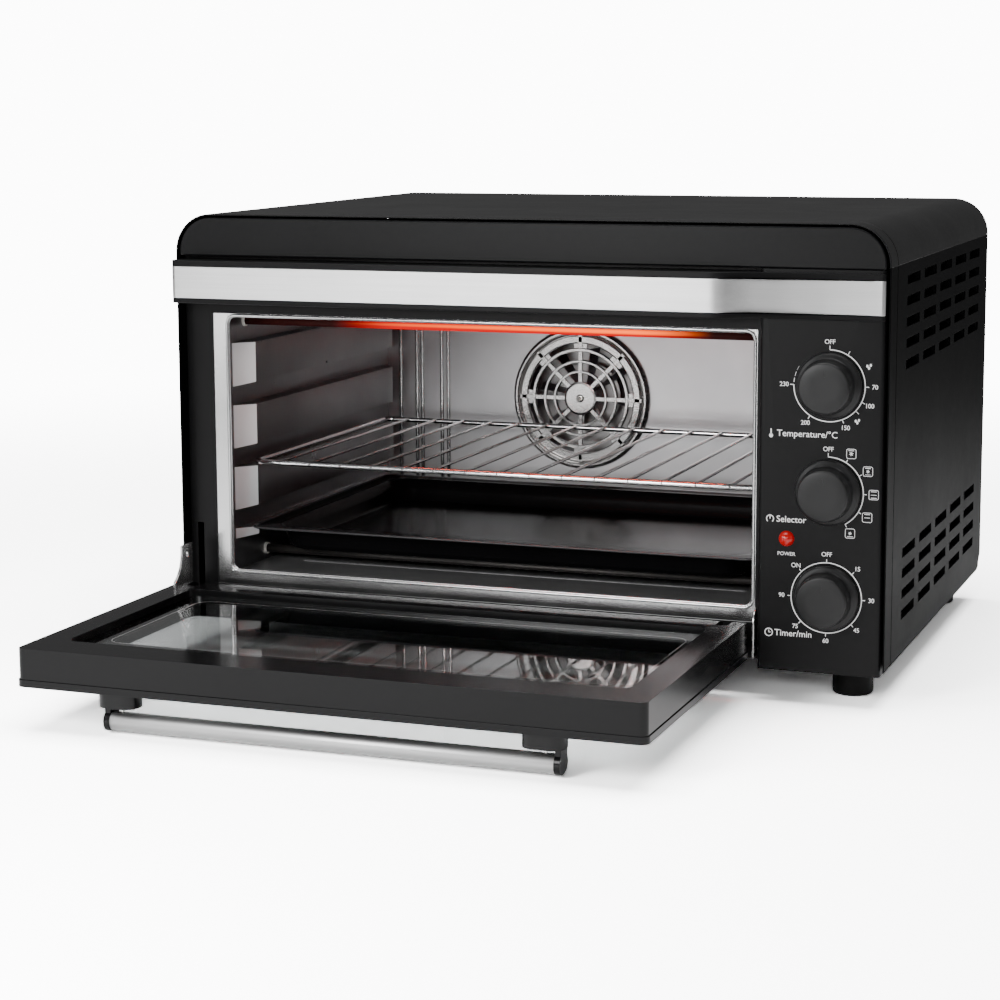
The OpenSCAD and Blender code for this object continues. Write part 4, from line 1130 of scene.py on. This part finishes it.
settle(object_from(bm, "grille_corners", "grille_silver", 30, 1e-7), "housing", "grille_steel")
print("grille:", made[-3:])

# %% [markdown]
# The screw's head is turned like the rings. One blade of the impeller is a twisted
# plate made from four cross sections, and the ring tree copies it round the hub.

# %% Fan screw, impeller and motor
def pan_head(bm, centre, axis, radius, height):
    """A pan head with a round dimple in its middle."""
    turned(bm, [(0, 0), (radius, 0), (radius, height * 0.35), (radius * 0.9, height * 0.75),
                (radius * 0.62, height), (radius * 0.5, height), (radius * 0.16, height * 0.35),
                (0, height * 0.3)], centre, axis, 32)


hub = Vector((grille_middle.x, grille_front, grille_middle.z))
bm = bmesh.new()
pan_head(bm, hub, "-Y", 0.0034, 0.0015)
turned(bm, [(0, 0), (0.0015, 0), (0.0015, 0.0045), (0, 0.0045)], hub, "Y", 24)
settle(object_from(bm, "grille_screw_shape", "zinc_screw", 40), "housing", "zinc_screw", "fan_grille_screw")

fan_low, fan_high = low("fan_impeller"), high("fan_impeller")
fan_radius = (fan_high.x - fan_low.x) / 2
blade_front, blade_back = fan_low.y + 0.0005, fan_high.y - 0.0012
bm = bmesh.new()
rings = []
for reach, lean in ((0.006, 0.0), (0.020, 0.010), (0.034, 0.017), (fan_radius * 0.975, 0.020)):
    rings.append([bm.verts.new((x, y, reach)) for x, y in (
        (lean * 0.2 - 0.0005, blade_front), (lean * 0.2 + 0.0005, blade_front),
        (lean * 0.45 + 0.0010, blade_back), (lean * 0.45, blade_back))])
join_rings(bm, rings)
bm.faces.new(rings[0])
bm.faces.new(rings[-1])
blade = object_from(bm, "fan_blades", "fan_sheet")
in_ring(blade, 8, (grille_middle.x, 0, grille_middle.z), "fan_sheet")
settle(blade, "fan", "fan_sheet", "fan_impeller")
disc = fan_radius * 0.66
bm = bmesh.new()
turned(bm, [(0, 0), (0.006, 0), (0.006, 0.010), (0.0065, 0.0105), (disc, 0.0107),
            (fan_radius * 0.667, 0.0113), (disc, 0.0119), (0, 0.0119)],
       (grille_middle.x, fan_low.y, grille_middle.z), "Y", 64)
settle(object_from(bm, "fan_hub", "fan_sheet", 40), "fan", "fan_sheet")
# The chamber, like the blades and hub, takes the darkened fan sheet: painted shade behind the grille.
softened("fan_chamber", 0.0005, "fan_sheet", steps=2)
softened("fan_motor", 0.0009, "motor_steel", steps=2)
print("fan:", made[-5:])

# %% [markdown]
# ## Wire rack
# The rack is bent wire: a frame with round corners and a row of thin wires that run
# from front to back, bent down a little at their ends. The frame is a tube round a
# loop, and the wires are one wire in a Geometry Nodes row.

# %% Rack
finish("chrome_end", (0.62, 0.62, 0.61), (0.78, 0.78, 0.77), 0.16, 0.08, 1.0)
rack_low, rack_high = low("wire_rack"), high("wire_rack")
rack_z = (rack_low.z + rack_high.z) / 2
frame_radius, wire_radius = 0.0022, 0.00125
bm = bmesh.new()
loop = round_loop(rack_low.x + frame_radius, rack_low.y + frame_radius, rack_high.x - frame_radius,
                  rack_high.y - frame_radius, 0.008)
tube(bm, [(x, y, rack_z) for x, y in loop], frame_radius, closed=True)
settle(object_from(bm, "rack_frame", "chrome_wire", 60), "rack", "chrome_wire", "wire_rack")
wires, pitch = 15, 0.025
first_x = (rack_low.x + rack_high.x) / 2 - pitch * (wires - 1) / 2
front_bend = [(rack_low.y + 0.0006, -0.0006), (rack_low.y + 0.0014, 0.0009), (rack_low.y + 0.006, 0.0009)]
rear_bend = [(rack_high.y - 0.006, 0.0009), (rack_high.y - 0.0022, 0.0008), (rack_high.y - 0.0014, -0.0006)]
bm = bmesh.new()
tube(bm, [(first_x, y, rack_z + rise) for y, rise in front_bend + rear_bend], wire_radius, 10)
wire = object_from(bm, "rack_wires", "chrome_end", 60)
in_rows(wire, wires, 1, (pitch, 0, 0), (0, 0, 0), "chrome_end")
settle(wire, "rack", "chrome_wire")
print("rack:", made[-2:])

# %% [markdown]
# ## Baking tray
# The tray is pressed from one sheet. Its section runs from the rolled rim down a
# sloping wall to the pan, and each ring of the mesh is one step of that section.

# %% Tray
tray_low, tray_high = low("baking_tray"), high("baking_tray")
rim_z = tray_high.z
depth = rim_z - tray_low.z


def pressed(bm, steps):
    """Rings of a pressed sheet: each step is (inset from the edge, height, corner radius)."""
    rings = []
    for inset, height, radius in steps:
        loop = round_loop(tray_low.x + inset, tray_low.y + inset, tray_high.x - inset,
                          tray_high.y - inset, radius)
        rings.append([bm.verts.new((x, y, height)) for x, y in loop])
    join_rings(bm, rings)
    bm.faces.new(rings[-1])
    return rings[0]


sheet = 0.0009
rim = [(inset, rim_z - drop, 0.012) for inset, drop in (
    (0.0014, 0.0019), (0.0004, 0.0016), (0.0, 0.0009), (0.0004, 0.0003), (0.0012, 0.0), (0.0022, 0.0002),
    (0.0030, 0.0006))]
shoulder = [(inset, rim_z - drop, 0.016) for inset, drop in (
    (0.0130, 0.0008), (0.0146, 0.0011), (0.0156, 0.0022))]
wall = [(inset, rim_z - drop, 0.017) for inset, drop in (
    (0.0178, depth * 0.45), (0.0196, depth * 0.80), (0.0208, depth - sheet - 0.0008),
    (0.0228, depth - sheet))]
section = rim + shoulder + wall
under = [(i + 0.0006 if i > 0.012 else i + 0.0004, max(z - sheet, tray_low.z), c) for i, z, c in section[5:]]
bm = bmesh.new()
join_rings(bm, [pressed(bm, section), pressed(bm, under)])
tray = object_from(bm, "tray_shape", "tray_enamel", 50)
# A lighter, glossier copy of the tray's enamel for the rim: a painted highlight along the rim.
finish("tray_rim_painted_highlight", (0.03, 0.03, 0.032), (0.06, 0.06, 0.063), 0.16, 0.05, 0.3, grain=0.1, grain_scale=260,
       specular=0.9)
tray.data.materials.append(finishes["tray_rim_painted_highlight"])
# Faces in the band round the top of the rim take the painted highlight finish.
rim_width, rim_depth = 0.0032, 0.0022
inside_low = tray_low + Vector((rim_width, rim_width, 0))
inside_high = tray_high - Vector((rim_width, rim_width, 0))
for face in tray.data.polygons:
    x, y, z = face.center
    on_edge = x < inside_low.x or y < inside_low.y or x > inside_high.x or y > inside_high.y
    face.material_index = int(on_edge and z > rim_z - rim_depth)
settle(tray, "tray", "tray_enamel", "baking_tray")
print("tray:", made[-1])

# %% [markdown]
# ## Door
# The open door lies level. Its plate and frame keep a crisp line between them, and a
# black border is printed under the inner glass round the clear window.

# %% Door plate, frame and glass
ink_depth = 0.00015


def printed_ring(name, window, radius, borders, z, material, outer_radius=0.004):
    """A thin printed frame: a window with a border of the given widths round it."""
    x0, y0, x1, y1 = window
    left, right, near, far = borders
    inner = round_loop(x0, y0, x1, y1, radius)
    outer = round_loop(x0 - left, y0 - near, x1 + right, y1 + far, outer_radius)
    bm = bmesh.new()
    rings = [[bm.verts.new((x, y, h)) for x, y in loop] for loop, h in
             ((inner, z), (outer, z), (outer, z - ink_depth), (inner, z - ink_depth))]
    join_rings(bm, rings, closed=True)
    settle(object_from(bm, name, material, 30, 1e-8), "door", "door_glass")


softened("door_outer_plate", 0.0007, "door_plastic", body="door", steps=2)
softened("door_inner_frame", 0.0011, "door_plastic", body="door", steps=3, angle=40)
for node in ("door_outer_glass", "door_inner_glass"):
    softened(node, 0.0003, "door_glass", body="door", steps=1)
pane_low, pane_high = low("door_inner_glass"), high("door_inner_glass")
window = (pane_low.x + 0.0145, pane_low.y + 0.0285, pane_high.x - 0.0105, pane_high.y - 0.0115)
edge, line = 0.0004, 0.0006
printed_ring("window_border", window, 0.010,
             (window[0] - pane_low.x - edge, pane_high.x - window[2] - edge,
              window[1] - pane_low.y - edge, pane_high.y - window[3] - edge),
             pane_low.z - 0.0002, "frit_black")
finish("print_grey", (0.60, 0.50, 0.50), (0.60, 0.60, 0.60), 0.4, 0.05)
around = (window[0] - line, window[1] - line, window[2] + line, window[3] + line)
printed_ring("window_line", around, 0.0106, (line,) * 4, pane_low.z - 0.00004, "print_grey", 0.0112)
print("door:", made[-6:])

# %% [markdown]
# ## Handle
# A steel tube runs between two moulded posts, each with a round black cap that
# closes the tube's end. The tube is turned, with the sharp edge taken off its ends.

# %% Handle
tube_low, tube_high = low("handle_tube"), high("handle_tube")
tube_middle = middle("handle_tube")
tube_radius = (tube_high.y - tube_low.y) / 2
length = tube_high.x - tube_low.x
bore, corner = tube_radius - 0.001, tube_radius - 0.0003
step = 0.0004
bm = bmesh.new()
turned(bm, [(bore, step), (bore, 0.0), (corner, 0.0), (tube_radius, step), (tube_radius, length - step),
            (corner, length), (bore, length), (bore, length - step)],
       (tube_low.x, tube_middle.y, tube_middle.z), "X", 64)
settle(object_from(bm, "handle_tube_shape", "handle_steel", 40), "door", "handle_steel", "handle_tube")
softened("handle_posts", 0.0016, "handle_plastic", body="door", steps=3, angle=35)
print("handle:", [round(v, 4) for v in (tube_low.x, tube_high.x, tube_radius)], made[-2:])

# %% [markdown]
# ## Screws and small parts
# Each screw's place is read from the loose pieces of its solid, and a pan head with
# a round dimple in its middle is turned there.

# %% Screws
def loose_boxes(node):
    """Low and high corners of each separate piece of a solid."""
    bm = bmesh.new()
    bm.from_mesh(cad[node].data)
    bmesh.ops.remove_doubles(bm, verts=bm.verts, dist=0.00002)
    unseen, boxes = set(bm.verts), []
    while unseen:
        queue, piece = [unseen.pop()], []
        while queue:
            vert = queue.pop()
            piece.append(vert.co.copy())
            for link in vert.link_edges:
                other = link.other_vert(vert)
                if other in unseen:
                    unseen.remove(other)
                    queue.append(other)
        boxes.append([Vector([pick(p[i] for p in piece) for i in range(3)]) for pick in (min, max)])
    bm.free()
    return sorted(boxes, key=lambda box: tuple(box[0]))


def screws(node, body, downward):
    """Pan heads on plain shanks, facing downward or to the rear."""
    bm = bmesh.new()
    boxes = loose_boxes(node)
    for a, b in boxes:
        centre = (a + b) / 2
        radius = (b.x - a.x) / 2
        height, shank = radius * 0.42, radius * 0.45
        if downward:
            centre.z = a.z + height
            facing, back, span = "-Z", "Z", b.z - a.z - height
        else:
            centre.y = b.y - height
            facing, back, span = "Y", "-Y", b.y - a.y - height
        pan_head(bm, centre, facing, radius, height)
        turned(bm, [(0, 0), (shank, 0), (shank, span), (0, span)], centre, back, 16)
    settle(object_from(bm, node + "_shape", "zinc_screw", 40, 1e-7), body, "zinc_screw", node)
    print(node, len(boxes))


screws("rear_panel_screws", "housing", downward=False)
screws("foot_screws", "housing", downward=True)
screws("handle_screws", "door", downward=True)

# %% Feet, lamp, bushing and hinge parts
for node in ("front_left_foot", "front_right_foot", "rear_left_foot", "rear_right_foot"):
    softened(node, 0.0012, "black_foot_rubber", steps=3)
for node, width, coat, steps in (
        ("power_lamp_lens", 0.0022, "red_lens", 5), ("power_lamp_holder", 0.0004, "switch_plastic", 2),
        ("cord_bushing", 0.0008, "black_foot_rubber", 3), ("hinge_ears", 0.0004, "hinge_steel", 2),
        ("hinge_stop_plate", 0.0004, "hinge_steel", 2)):
    softened(node, width, coat, steps=steps)
softened("door_hinge_arm", 0.0004, "hinge_steel", body="door", steps=2)
for node, coat in (("thermostat", "switch_plastic"), ("selector_switch", "switch_plastic"),
                   ("timer_mechanism", "switch_metal"), ("terminal_block", "pale_plastic")):
    softened(node, 0.0006, coat, steps=2)
print("small parts:", made[-11:])
